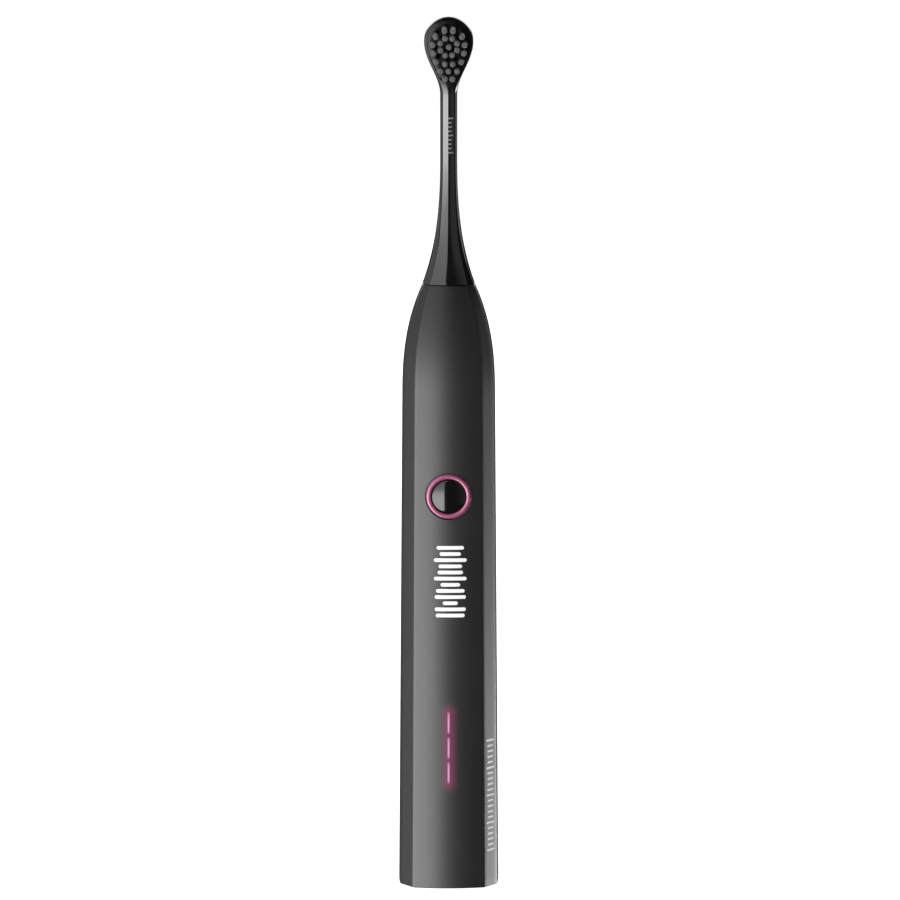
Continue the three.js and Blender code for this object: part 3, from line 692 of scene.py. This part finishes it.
def tuft_places():
    """The tufts' places on the head: a middle one, a ring round it, and mirrored pairs."""
    ring = [TAU * (k + 0.5) / 8 for k in range(8)]
    places = [(0, 0), *((TUFT_RING * sin(a), TUFT_RING * cos(a)) for a in ring)]
    places += [(side * x, y) for x, y in TUFT_PAIRS for side in (-1, 1)]
    places.append((0, TUFT_TAIL))
    return [(x, y + MIDDLE_TUFT) for x, y in places]


FILAMENT = 0.125  # radius
FILAMENT_SIDES = 6


def filament(bm, foot, tip):
    """One bristle with a rounded end, from its foot to its tip, both (x, up, front)."""
    rows = []
    for share, size in ((0, 1), (0.55, 1), (0.975, 1), (0.992, 0.75)):
        x, up, front = (lerp(a, b, share) for a, b in zip(foot, tip))
        size *= FILAMENT
        ring = [in_head(x + size * c, up + size * s, front) for c, s in arc(FILAMENT_SIDES, TAU)[:-1]]
        rows.append(row(bm, ring))
    loft(bm, rows)
    fan(bm, rows[-1], in_head(*tip))
    bm.faces.new(rows[0])


def make_tuft(i, x, up):
    """A round bundle of bristles, packed in rings, a little splayed at the tips."""
    draw = random.Random(1000 + i)
    bm = bmesh.new()
    lean = (draw.uniform(-0.06, 0.06), draw.uniform(-0.06, 0.06))
    for ring, count in enumerate((1, 6, 12, 17)):
        reach = (TUFT_RADIUS - FILAMENT) * ring / 3
        for k in range(count):
            angle = TAU * (k + 0.5 * (ring % 2)) / count + draw.uniform(-0.05, 0.05)
            u, v = cos(angle) * reach, sin(angle) * reach
            spread_out = 1.05 + draw.uniform(-0.03, 0.05)
            top = TUFT_TIP - 0.22 * (ring / 3) ** 2 - draw.uniform(0, 0.16)
            foot = (x + u * 0.94, up + v * 0.94, PLATE_FRONT - 0.3)
            tip = (x + u * spread_out + lean[0], up + v * spread_out + lean[1], top)
            filament(bm, foot, tip)
    piece = mesh_piece(f"tuft_{i:02d}", bm, "brush", sharp=60)
    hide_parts("bristle_plate")
    return piece


# ---- inner pieces


BODY_OF = {node: body for body, nodes in frame["record"]["behaviour"]["bodies"].items() for node in nodes}
SLOT_OF = {part["node"]: part["material_slot"] for part in frame["record"]["subparts"]}


def span(node, axis="Z"):
    """A turned node's outer radius, and its two ends along its axis."""
    low, high = corners(node)
    return (high.x - low.x) / 2, getattr(low, axis.lower()), getattr(high, axis.lower())


def stand_for(piece, node):
    """Hides a CAD node behind a piece, and gives the piece the node's finish."""
    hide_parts(node)
    dress(piece, SLOT_OF[node])
    return piece


def add_turned(name, node, profile, **how):
    return stand_for(turned(name, profile, BODY_OF[node], **how), node)


def add_ring(name, node, bore, edge, axis="Z", **how):
    """A plain ring of a node's size, with eased edges, or a disc or pin if it has no bore."""
    radius, low, high = span(node, axis)
    section = [(bore, low), (radius, low), (radius, high), (bore, high)]
    add_turned(name, node, soften(section, edge), axis=axis, **how)


def add_ribbed(name, node, bore, pitch, depth):
    """A ring of a node's size whose outside is a row of round ribs."""
    radius, low, high = span(node)
    count = 4 * round((high - low) / pitch)
    section = [(bore, low)]
    for k in range(count + 1):
        dip = depth * (0.5 + 0.5 * cos(TAU * k / 4))
        section.append((radius - dip, lerp(low, high, k / count)))
    add_turned(name, node, [*section, (bore, high)])


def make_power_pieces():
    """The charging coil on its bobbin, the shield over it and the cell with its terminal."""
    radius, low, high = span("coil_bobbin")
    bore, barrel, lip, wire = 6.0, 6.8, 1.0, 0.35
    section = [
        (bore, low), (radius, low), (radius, low + lip), (barrel, low + lip),
        (barrel, high - lip), (radius, high - lip), (radius, high), (bore, high),
    ]
    add_turned("bobbin", "coil_bobbin", soften(section, 0.2))
    add_ribbed("coil_turns", "charge_coil", barrel + 0.15, wire, 0.1)
    add_ring("shield_disc", "ferrite_shield", 0, 0.25)

    cell_low, cell_high = corners("battery_cell")
    centre = (0, (cell_low.y + cell_high.y) / 2)
    radius, low, high = span("battery_cell")
    groove = radius - 0.35
    section = [
        (0, low), (radius, low), (radius, high - 3.0), (groove, high - 2.6), (groove, high - 2.2),
        (radius, high - 1.8), (radius, high), (0, high),
    ]
    add_turned("cell_can", "battery_cell", soften(section, 0.5), centre=centre)
    add_ring("cell_button", "battery_terminal", 0, 0.3, centre=centre)


def make_shaft():
    """The ground shaft, with a flat on the back of its upper end."""
    radius, low, high = span("drive_shaft")
    flat, flat_from, step = 1.1, 176.0, 0.02
    section = [(0, low), *bend((radius - 0.25, low), (radius, low), (radius, low + 0.25)),
               (radius, flat_from), (radius, flat_from + step),
               *bend((radius, high - 0.3), (radius, high), (radius - 0.3, high)), (0, high)]
    shaft = add_turned("ground_shaft", "drive_shaft", section)
    for vertex in shaft.data.vertices:
        if vertex.co.z > (flat_from + step / 2) * MM:
            vertex.co.y = min(vertex.co.y, flat * MM)
    smooth(shaft.data)


def make_motor_pieces():
    shaft_bore = 1.56
    add_ring("motor_shell", "motor_can", 8.3, 0.25)
    add_ribbed("damper_sleeve", "motor_damper", 9.2, 2.0, 0.2)
    for place in ("lower", "upper"):
        add_ring(f"{place}_end_plate", f"motor_{place}_plate", 4.25, 0.3)
        add_ring(f"{place}_bush", f"{place}_bearing", shaft_bore, 0.35)
    add_ring("rotor_core", "rotor_yoke", shaft_bore, 0.15)
    add_ring("seal_ring", "seal_retainer", 2.1, 0.35)
    radius, low, high = span("shaft_seal")
    bore, sleeve, neck, plug = 1.8, 3.0, 3.4, 4.5
    section = [
        (bore, low), (sleeve, low), (sleeve, low + 2), (radius, low + 2), (radius, low + 3.4),
        (neck, low + 3.4), (neck, high - 5), (plug, high - 4.4), (plug, high), (bore, high),
    ]
    add_turned("seal_bellows", "shaft_seal", soften(section, 0.6))
    make_shaft()


def make_small_pieces():
    add_ring("button_gasket", "button_seal", 5.95, 0.3, **AT_BUTTON)
    add_ring("plunger_pin", "switch_plunger", 0, 0.25, **AT_BUTTON, sides=48)
    for place in ("lower", "upper"):
        low, high = corners(f"board_screw_{place}")
        head, shank, socket = high.x, 0.8, 0.5
        seat = low.y + 0.65
        section = [(0, low.y + 0.2), (socket, low.y), (head, low.y), (head, seat), (shank, seat),
                   (shank, high.y), (0, high.y)]
        add_turned(f"{place}_board_screw", f"board_screw_{place}", soften(section, 0.18),
                   axis="Y", centre=(0, (low.z + high.z) / 2), sides=48)
    add_ring("shaft_sleeve", "socket_insert", 1.65, 0.3)


# The inner pieces that keep their CAD shape, with their edges' radius in millimetres.
EASED = {
    "base_seal": 0.3, "chassis": 0.25, "battery_tab_negative": 0.08, "battery_tab_positive": 0.08,
    "circuit_board": 0.06, "charger_chip": 0.1, "inductor": 0.3, "controller_chip": 0.1,
    "capacitor": 0.3, "coil_wire_left": 0.0, "coil_wire_right": 0.0, "motor_wire_left": 0.0,
    "motor_wire_right": 0.0, "tact_switch": 0.15, "light_guide": 0.12, "light_diode_1": 0.12,
    "light_diode_2": 0.12, "light_diode_3": 0.12, "stator_core": 0.1, "winding_left": 0.35,
    "winding_right": 0.35, "magnet_left": 0.15, "magnet_right": 0.15, "spring_anchor": 0.25,
    "torsion_spring": 0.1, "retaining_clip": 0.08,
}


def make_eased(node, radius):
    """A copy of a CAD node with rounded edges and smooth curves."""
    sharp = 50
    bm = bmesh.new()
    bm.from_mesh(frame["nodes"][node].data)
    bmesh.ops.remove_doubles(bm, verts=bm.verts, dist=1e-7)
    bmesh.ops.dissolve_limit(bm, angle_limit=radians(1), verts=bm.verts, edges=bm.edges)
    bmesh.ops.scale(bm, vec=(1 / MM,) * 3, verts=bm.verts)
    piece = mesh_piece(f"{node}_fine", bm, BODY_OF[node], sharp)
    if radius:
        modify(piece, "BEVEL", width=radius * MM, segments=3, limit_method="ANGLE",
               angle_limit=radians(sharp))
        smooth(piece.data, sharp)
    stand_for(piece, node)


# ---- materials


class Graph:
    """A node tree, and short ways to add to it."""

    def __init__(self, tree):
        self.nodes, self.links = tree.nodes, tree.links

    def give(self, socket, value):
        """Links a source to a socket, or gives the socket a number, colour or vector."""
        if isinstance(value, bpy.types.NodeSocket):
            self.links.new(value, socket)
        else:
            socket.default_value = value

    def add(self, kind, inputs=None, **settings):
        node = self.nodes.new("ShaderNode" + kind)
        for key, value in settings.items():
            setattr(node, key, value)
        for key, value in (inputs or {}).items():
            self.give(node.inputs[key], value)
        return node

    def source(self, kind, inputs, **settings):
        """Adds a node, and returns its first output."""
        return self.add(kind, inputs, **settings).outputs[0]

    def math(self, operation, *values):
        return self.source("Math", dict(enumerate(values)), operation=operation)

    def plus(self, first, second):
        return self.math("ADD", first, second)

    def minus(self, first, second):
        return self.math("SUBTRACT", first, second)

    def over(self, first, second):
        return self.math("DIVIDE", first, second)

    def times(self, first, *others):
        for other in others:
            first = self.math("MULTIPLY", first, other)
        return first

    def axes(self, place=None):
        """The x, y and z of a place, or of the graph's own."""
        return self.add("SeparateXYZ", {0: place or self.place}).outputs


class Look(Graph):
    """A node material that starts from one shader and object coordinates."""

    def __init__(self, name, color, roughness, metallic=0.0, **sockets):
        self.material = bpy.data.materials.new(name)
        self.material.use_nodes = True
        super().__init__(self.material.node_tree)
        self.color, self.roughness = color, roughness
        self.shader = self.nodes["Principled BSDF"].inputs
        sockets = {"Base Color": (*color, 1), "Roughness": roughness, "Metallic": metallic, **sockets}
        for socket, value in sockets.items():
            self.shader[socket.replace("_", " ")].default_value = value
        self.place = self.add("TexCoord").outputs["Object"]

    def noise(self, size, detail=3.0, stretch=(1, 1, 1)):
        """Noise with features of a size in millimetres."""
        place = self.source("Mapping", {"Vector": self.place, "Scale": [s / (size * MM) for s in stretch]})
        return self.source("TexNoise", {"Vector": place, "Scale": 1.0, "Detail": detail})

    def shades(self, source, low, high, start=0.3, stop=0.7):
        """Base colours that follow a source between two colours."""
        ramp = self.add("ValToRGB", {"Fac": source})
        ends = ramp.color_ramp.elements
        ends[0].position, ends[0].color = start, (*low, 1)
        ends[1].position, ends[1].color = stop, (*high, 1)
        self.give(self.shader["Base Color"], ramp.outputs["Color"])

    def vary(self, source, low, high):
        """Base colours that follow a source between two shares of the look's own."""
        low, high = ([min(1.0, c * share) for c in self.color] for share in (low, high))
        self.shades(source, low, high)

    def remap(self, source, low, high, socket="Roughness", start=0.3, stop=0.7):
        """Values of a socket, from low to high as a source runs from start to stop."""
        limits = {"From Min": start, "From Max": stop, "To Min": low, "To Max": high}
        self.give(self.shader[socket], self.source("MapRange", {"Value": source, **limits}))

    def scuff(self, source, low, high):
        """Roughness that follows a source between two shares of the look's own."""
        self.remap(source, self.roughness * low, min(1.0, self.roughness * high))

    def bump(self, source, height, strength=1.0):
        """Relief of a height in millimetres."""
        relief = {"Height": source, "Strength": strength, "Distance": height * MM}
        self.give(self.shader["Normal"], self.source("Bump", relief))

    def glow(self, color, strength):
        self.give(self.shader["Emission Color"], (*color, 1))
        self.give(self.shader["Emission Strength"], strength)

    def fade(self, square):
        """A smooth fall from 1, from the square of a distance."""
        return self.math("EXPONENT", self.times(square, -1.0))


def plain_look(name, color, roughness, grain=0.4, vary=0.15, relief=0.004, metallic=0.0, **sockets):
    """A moulded or rolled surface: fine grain, a little variation in colour and gloss."""
    look = Look(name, color, roughness, metallic, **sockets)
    fine = look.noise(grain)
    look.vary(look.noise(grain * 20, 2.0), 1 - vary, 1 + vary)
    look.scuff(fine, 0.92, 1.08)
    look.bump(fine, relief)
    return look


def shell_look():
    """Satin black plastic with a fine grain, and a painted magenta glow round the lit bars, for the light
    that bleeds through the plastic.
    """
    look = Look("satin_black", (0.006, 0.0062, 0.0061), 0.33, Specular_IOR_Level=0.5)
    fine = look.noise(0.16, 2.0)
    look.shades(look.noise(9.0, 2.0), (0.0055, 0.0057, 0.0056), (0.0066, 0.0068, 0.0067))
    look.remap(fine, 0.315, 0.345)
    look.bump(fine, 0.0012)
    # painted glow: magenta emission on the shell itself, falling off with distance from the lit bars
    low, high = WINDOWS[0][0].z * MM, WINDOWS[-1][1].z * MM
    reach = 1.75 * MM
    x, y, z = look.axes()
    across = look.over(x, reach)
    from_middle = look.math("ABSOLUTE", look.minus(z, (low + high) / 2))
    past = look.over(look.math("MAXIMUM", look.minus(from_middle, (high - low) / 2), 0.0), reach)
    fall = look.fade(look.plus(look.times(across, across), look.times(past, past)))
    front = look.math("LESS_THAN", y, -10 * MM)
    look.glow((1.0, 0.02, 0.4), look.times(fall, front, 0.15))
    return look


def gloss_look(name, color, roughness, specular):
    """Polished moulded plastic, with the faint unevenness of a moulded surface."""
    look = Look(name, color, roughness, Specular_IOR_Level=specular)
    broad = look.noise(6.0, 1.0)
    look.vary(broad, 0.9, 1.1)
    look.scuff(look.noise(0.8, 2.0), 0.8, 1.2)
    look.bump(broad, 0.002, 0.4)
    return look


def neck_look():
    """Polished black plastic that turns satin over the foot of the head."""
    polish, shine = (0.06, 0.22), (0.87, 0.2)
    look = Look("neck_black", BLACK, polish[0], Specular_IOR_Level=shine[0])
    z = look.axes()[2]
    low, high = SATIN_FROM * MM, SATIN_TO * MM
    look.remap(z, *polish, start=low, stop=high)
    look.remap(z, *shine, "Specular IOR Level", low, high)
    broad = look.noise(6.0, 1.0)
    look.shades(broad, (0.0028, 0.0028, 0.003), (0.0038, 0.0038, 0.004))
    look.bump(broad, 0.002, 0.4)
    return look


def ring_look():
    """Pink anodised metal, turned, with fine rings round the button's axis."""
    look = Look("pink_anodised", (0.23, 0.055, 0.12), 0.34, 0.4, Coat_Weight=0.6, Coat_Roughness=0.08)
    x, _, z = look.axes()
    up = look.minus(z, BUTTON_Z * MM)
    reach = look.math("SQRT", look.plus(look.times(x, x), look.times(up, up)))
    lines = look.math("SINE", look.times(reach, TAU / (0.05 * MM)))
    look.shades(look.noise(2.0), (0.215, 0.05, 0.112), (0.245, 0.06, 0.128))
    look.remap(lines, 0.32, 0.36, start=-1, stop=1)
    look.bump(lines, 0.0004)
    return look


def lit_look():
    """A lit bar: nearly white-pink, a little brighter along its middle."""
    look = Look("lit_pink", (0.12, 0.03, 0.07), 0.4)
    noise = look.noise(1.5, 1.0)
    look.shades(noise, (0.11, 0.027, 0.065), (0.13, 0.033, 0.075))
    look.remap(noise, 0.38, 0.44)
    x, _, z = look.axes()
    low, high = WINDOWS[1]
    pitch, half_length = (low.z - WINDOWS[0][0].z) * MM, (high.z - low.z) / 2 * MM
    across = look.over(x, 0.3 * MM)
    up = look.over(look.minus(z, (low.z + high.z) / 2 * MM), pitch)
    from_middle = look.times(look.math("ABSOLUTE", look.minus(up, look.math("ROUND", up))), pitch)
    along = look.math("POWER", look.over(from_middle, half_length * 0.93), 6.0)
    fall = look.fade(look.plus(look.times(across, across), along))
    look.glow((0.9, 0.42, 0.62), look.times(fall, 0.6))
    return look


def ink_look(name, shade):
    look = Look(name, (shade,) * 3, 0.5)
    grain = look.noise(0.12, 2.0)
    look.vary(grain, 0.94, 1.06)
    look.scuff(grain, 0.92, 1.08)
    look.bump(grain, 0.002)
    return look


def bristle_look():
    """Dark grey nylon, with painted shade that darkens it towards the plate, so it is lighter towards the
    rounded tips.
    """
    look = Look("grey_nylon", (0.02, 0.02, 0.021), 0.42, Specular_IOR_Level=0.5)
    _, y, z = look.axes()
    _, head_z, angle = spine(HEAD_CENTRE)
    up = look.minus(z, head_z * MM)
    front = look.plus(look.times(y, -cos(angle)), look.times(up, -sin(angle)))
    # painted shade: the colour runs from near black at the bristles' feet, where the tufts shade each other,
    # up to grey at the tips
    foot, tip, blur = 4.5 * MM, 11.7 * MM, 1.2 * MM
    grain = look.times(look.minus(look.noise(0.3), 0.5), blur)
    share = look.over(look.minus(look.plus(front, grain), foot), tip - foot)
    look.shades(share, (0.006, 0.006, 0.0065), (0.14, 0.14, 0.144), 0.1, 0.95)
    look.remap(look.noise(0.4), 0.36, 0.46)
    return look


def brushed_look(name, color, roughness, stretch):
    """Drawn or turned metal with fine lines."""
    look = Look(name, color, roughness, 1.0)
    lines = look.noise(0.05, 2.0, stretch)
    look.vary(look.noise(3.0), 0.92, 1.06)
    look.scuff(lines, 0.8, 1.25)
    look.bump(lines, 0.001)
    return look


def board_look():
    """Green laminate with faint copper tracks under its lacquer."""
    look = Look("green_board", (0.02, 0.11, 0.045), 0.35)
    turned_place = look.source("Mapping", {"Vector": look.place, "Rotation": (TAU / 4, 0, 0)})
    tracks = look.add("TexBrick", {
        "Vector": turned_place, "Scale": 1 / (2.5 * MM), "Mortar Size": 0.06,
        "Color1": (0.018, 0.1, 0.04, 1), "Color2": (0.024, 0.13, 0.052, 1), "Mortar": (0.05, 0.2, 0.09, 1),
    })
    look.give(look.shader["Base Color"], tracks.outputs["Color"])
    look.remap(look.noise(0.6), 0.3, 0.42)
    look.bump(tracks.outputs["Fac"], 0.02, 0.4)
    return look


def winding_look(name, spacing):
    """Enamelled copper wire, wound with a spacing in millimetres, with painted shade in the grooves between
    the turns.
    """
    look = Look(name, (0.6, 0.22, 0.09), 0.3, 1.0)
    z = look.axes()[2]
    turns = look.math("SINE", look.times(z, TAU / (spacing * MM)))
    # painted shade: the copper is darker in the grooves between the turns and lighter on their crowns,
    # following the bump
    look.shades(turns, (0.3, 0.1, 0.04), (0.66, 0.25, 0.1), -0.6, 0.6)
    look.remap(look.noise(0.5), 0.25, 0.36)
    look.bump(turns, spacing * 0.3)
    return look


BLACK = (0.003, 0.003, 0.0033)


# One look for each of the record's material slots.
LOOKS = {
    "handle_shell": shell_look(),
    "gloss_black": gloss_look("gloss_black", BLACK, 0.06, 0.87),
    "bristle_fibre": bristle_look(),
    "pink_ring": ring_look(),
    "lit_window": lit_look(),
    "clear_guide": plain_look("clear_resin", (0.8, 0.82, 0.84), 0.12, 0.8, 0.03, 0.001,
                              Transmission_Weight=0.6, IOR=1.49),
    "seal_rubber": plain_look("seal_rubber", (0.018, 0.018, 0.019), 0.7, 0.25, 0.2, 0.006),
    "inner_plastic": plain_look("white_plastic", (0.5, 0.51, 0.52), 0.5, 0.3, 0.05),
    "switch_plastic": plain_look("black_plastic", (0.02, 0.021, 0.022), 0.5, 0.3),
    "board_laminate": board_look(),
    "chip_resin": plain_look("chip_resin", (0.015, 0.015, 0.016), 0.55, 0.1, 0.2),
    "wire_sleeve": plain_look("wire_sleeve", (0.4, 0.02, 0.025), 0.45, 0.5, 0.1, 0.003),
    "cell_wrap": plain_look("cell_wrap", (0.03, 0.16, 0.15), 0.3, 1.0, 0.08, 0.002),
    "nickel_plate": brushed_look("nickel_plate", (0.62, 0.59, 0.52), 0.3, (1, 20, 1)),
    "plain_steel": brushed_look("plain_steel", (0.56, 0.57, 0.58), 0.32, (1, 1, 20)),
    "shaft_steel": brushed_look("ground_steel", (0.3, 0.31, 0.32), 0.26, (1, 1, 24)),
    "motor_iron": plain_look("oxide_iron", (0.1, 0.105, 0.115), 0.45, 0.4, 0.2, metallic=1.0),
    "bearing_bronze": plain_look("sintered_bronze", (0.5, 0.27, 0.11), 0.4, 0.12, 0.25, metallic=1.0),
    "copper_wire": winding_look("copper_wire", 0.35),
    "ferrite": plain_look("ferrite", (0.03, 0.032, 0.035), 0.6, 0.2, 0.25, 0.006),
}


def paint(piece, look):
    piece.data.materials.clear()
    piece.data.materials.append(look.material)


def dress(piece, slot, look=None):
    """Gives a piece a slot's look, or one of its own."""
    paint(piece, look or LOOKS[slot])


# ---- stage, lights and camera


def make_floor():
    reach, drop = 12.0, -0.00015
    mesh = bpy.data.meshes.new("floor")
    square = ((-1, -1), (1, -1), (1, 1), (-1, 1))
    mesh.from_pydata([(x * reach, y * reach, drop) for x, y in square], [], [range(4)])
    floor = add_object("floor", mesh)
    look = Look("pale_floor", (0.9, 0.9, 0.9), 0.9, Specular_IOR_Level=0.0)
    look.glow((1, 1, 1), 0.97)
    paint(floor, look)
    floor.visible_glossy = False
    floor.visible_diffuse = False
    floor.visible_shadow = False


def make_world():
    """White where the camera looks past the object, and nearly dark for its reflections."""
    world = bpy.data.worlds.new("studio")
    bpy.context.scene.world = world
    world.use_nodes = True
    graph = Graph(world.node_tree)
    graph.nodes.clear()
    white = (1, 1, 1, 1)
    lighting = graph.source("Background", {"Color": white, "Strength": 0.03})
    seen = graph.source("Background", {"Color": white, "Strength": 1.0})
    looks_past = graph.add("LightPath").outputs["Is Camera Ray"]
    mix = graph.source("MixShader", {"Fac": looks_past, 1: lighting, 2: seen})
    graph.add("OutputWorld", {"Surface": mix})


SUBJECT = Vector((0, 0, 0.125))
PANEL_DISTANCE = 1.6


def direction(azimuth, elevation):
    """A unit vector, with azimuth 0 to the front and 90 to the right."""
    a, e = radians(azimuth), radians(elevation)
    return Vector((sin(a) * cos(e), -cos(a) * cos(e), sin(e)))


def add_panel(name, azimuths, elevations, radiance):
    """A soft upright panel between two azimuths and two elevations in degrees."""
    middle = (azimuths[0] + azimuths[1]) / 2
    low, high = (PANEL_DISTANCE * tan(radians(e)) for e in elevations)
    data = bpy.data.lights.new(name, "AREA")
    data.shape = "RECTANGLE"
    data.size = 2 * PANEL_DISTANCE * tan(radians(azimuths[1] - azimuths[0]) / 2)
    data.size_y = high - low
    data.energy = radiance * pi * data.size * data.size_y
    light = add_object(name, data)
    light.location = SUBJECT + direction(middle, 0) * PANEL_DISTANCE + Vector((0, 0, (low + high) / 2))
    light.rotation_euler = (radians(90), 0, radians(middle))
    light.visible_camera = False
    return light


class Panel(Graph):
    """The node graph of a light panel, with the shares of its width and height."""

    def __init__(self, light):
        light.data.use_nodes = True
        super().__init__(light.data.node_tree)
        self.across, self.up, _ = self.axes(self.add("NewGeometry").outputs["Parametric"])

    def curve(self, stops):
        """Values up the panel through (share, value) stops, with straight stretches between them."""
        node = self.add("FloatCurve", {"Value": self.up})
        points = node.mapping.curves[0].points
        points[0].location = stops[0]
        points[1].location = stops[-1]
        for stop in stops[1:-1]:
            points.new(*stop)
        for point in points:
            point.handle_type = "VECTOR"
        node.mapping.update()
        return node.outputs[0]

    def shine(self, strength):
        self.give(self.nodes["Emission"].inputs["Strength"], strength)


def grade(light, brightness, edge):
    """Varies a panel's brightness and its right-hand edge from its foot to its top.

    Both are stops of (share of the height, value); the edge is a share of the width.
    """
    panel = Panel(light)
    factor = panel.curve(brightness)
    panel.shine(panel.times(factor, panel.math("LESS_THAN", panel.across, panel.curve(edge))))


def fade_in(light, share):
    """Brings a panel up smoothly from dark, over a share of its width from the left."""
    panel = Panel(light)
    rise = {"Value": panel.across, "From Max": share}
    panel.shine(panel.source("MapRange", rise, interpolation_type="SMOOTHSTEP"))


def make_lights():
    brightness = [(0, 0.86), (0.26, 0.98), (0.31, 0.9), (0.335, 0.84), (0.36, 0.58), (0.4, 0.35),
                  (0.5, 0.23), (0.62, 0.19), (1, 0.19)]
    edge = [(0, 0.88), (0.1, 0.92), (0.4, 0.926), (0.58, 0.966), (1, 0.98)]
    grade(add_panel("key_left", (-84, -3), (-45, 60), 7.6), brightness, edge)
    add_panel("side_left", (-115, -92), (-40, 0), 0.72)
    add_panel("side_left_high", (-125, -90), (0, 50), 0.6)
    add_panel("rim_right", (101, 131), (-27, -15), 12.0)
    add_panel("rim_high", (107, 126), (-13, 18), 1.0)
    fade_in(add_panel("fill_right", (8, 85), (-25, 50), 0.25), 0.35)
    add_panel("back_high", (150, 210), (6, 45), 2.5)
    add_panel("back_left", (-148, -125), (-30, 40), 0.4)
    add_panel("back_right", (125, 148), (-30, 40), 0.3)


def make_camera():
    distance, elevation = 1.4, 9.5
    data = bpy.data.cameras.new("camera")
    data.sensor_width = 36
    data.lens = 195.3
    data.clip_start, data.clip_end = 0.05, 50
    camera = add_object("camera", data)
    back = direction(0, elevation)
    camera.location = SUBJECT + Vector((0.00037, 0, 0.0007)) + back * distance
    camera.rotation_mode = "QUATERNION"
    camera.rotation_quaternion = (-back).to_track_quat("-Z", "Y")
    bpy.context.scene.camera = camera


# ---- assembly


def make_object():
    for name, node in frame["nodes"].items():
        paint(node, LOOKS[SLOT_OF[name]])
    dress(make_housing(), "handle_shell")
    dress(make_base_cap(), "handle_shell")
    dress(make_bezel(), "pink_ring")
    dress(make_button(), "gloss_black", gloss_look("button_black", BLACK, 0.08, 0.5))
    for i, (low, high) in enumerate(WINDOWS, 1):
        dress(make_window(i, low, high), "lit_window")
    for bars, name, shade in (
        (make_print(), "white_ink", 0.62),
        (make_scale(make_tick, "facet_tick_{:02d}", 10.7, 43.0, 21, 5, 3.5, 2.5), "bright_ink", 0.88),
        (make_scale(make_neck_tick, "neck_tick_{}", 211.6, 221.6, 9, 4, 1.4, 0.95), "grey_ink", 0.13),
    ):
        ink = ink_look(name, shade)
        for bar in bars:
            paint(bar, ink)
    dress(make_neck(), "gloss_black", neck_look())
    dress(make_plate(), "gloss_black", gloss_look("head_black", (0.004, 0.004, 0.0042), 0.22, 0.2))
    for i, (x, up) in enumerate(tuft_places(), 1):
        dress(make_tuft(i, x, up), "bristle_fibre")
    make_power_pieces()
    make_motor_pieces()
    make_small_pieces()
    for node, radius in EASED.items():
        make_eased(node, radius)


make_camera()
make_object()
make_floor()
make_world()
make_lights()
bpy.context.scene.view_settings.view_transform = "Standard"
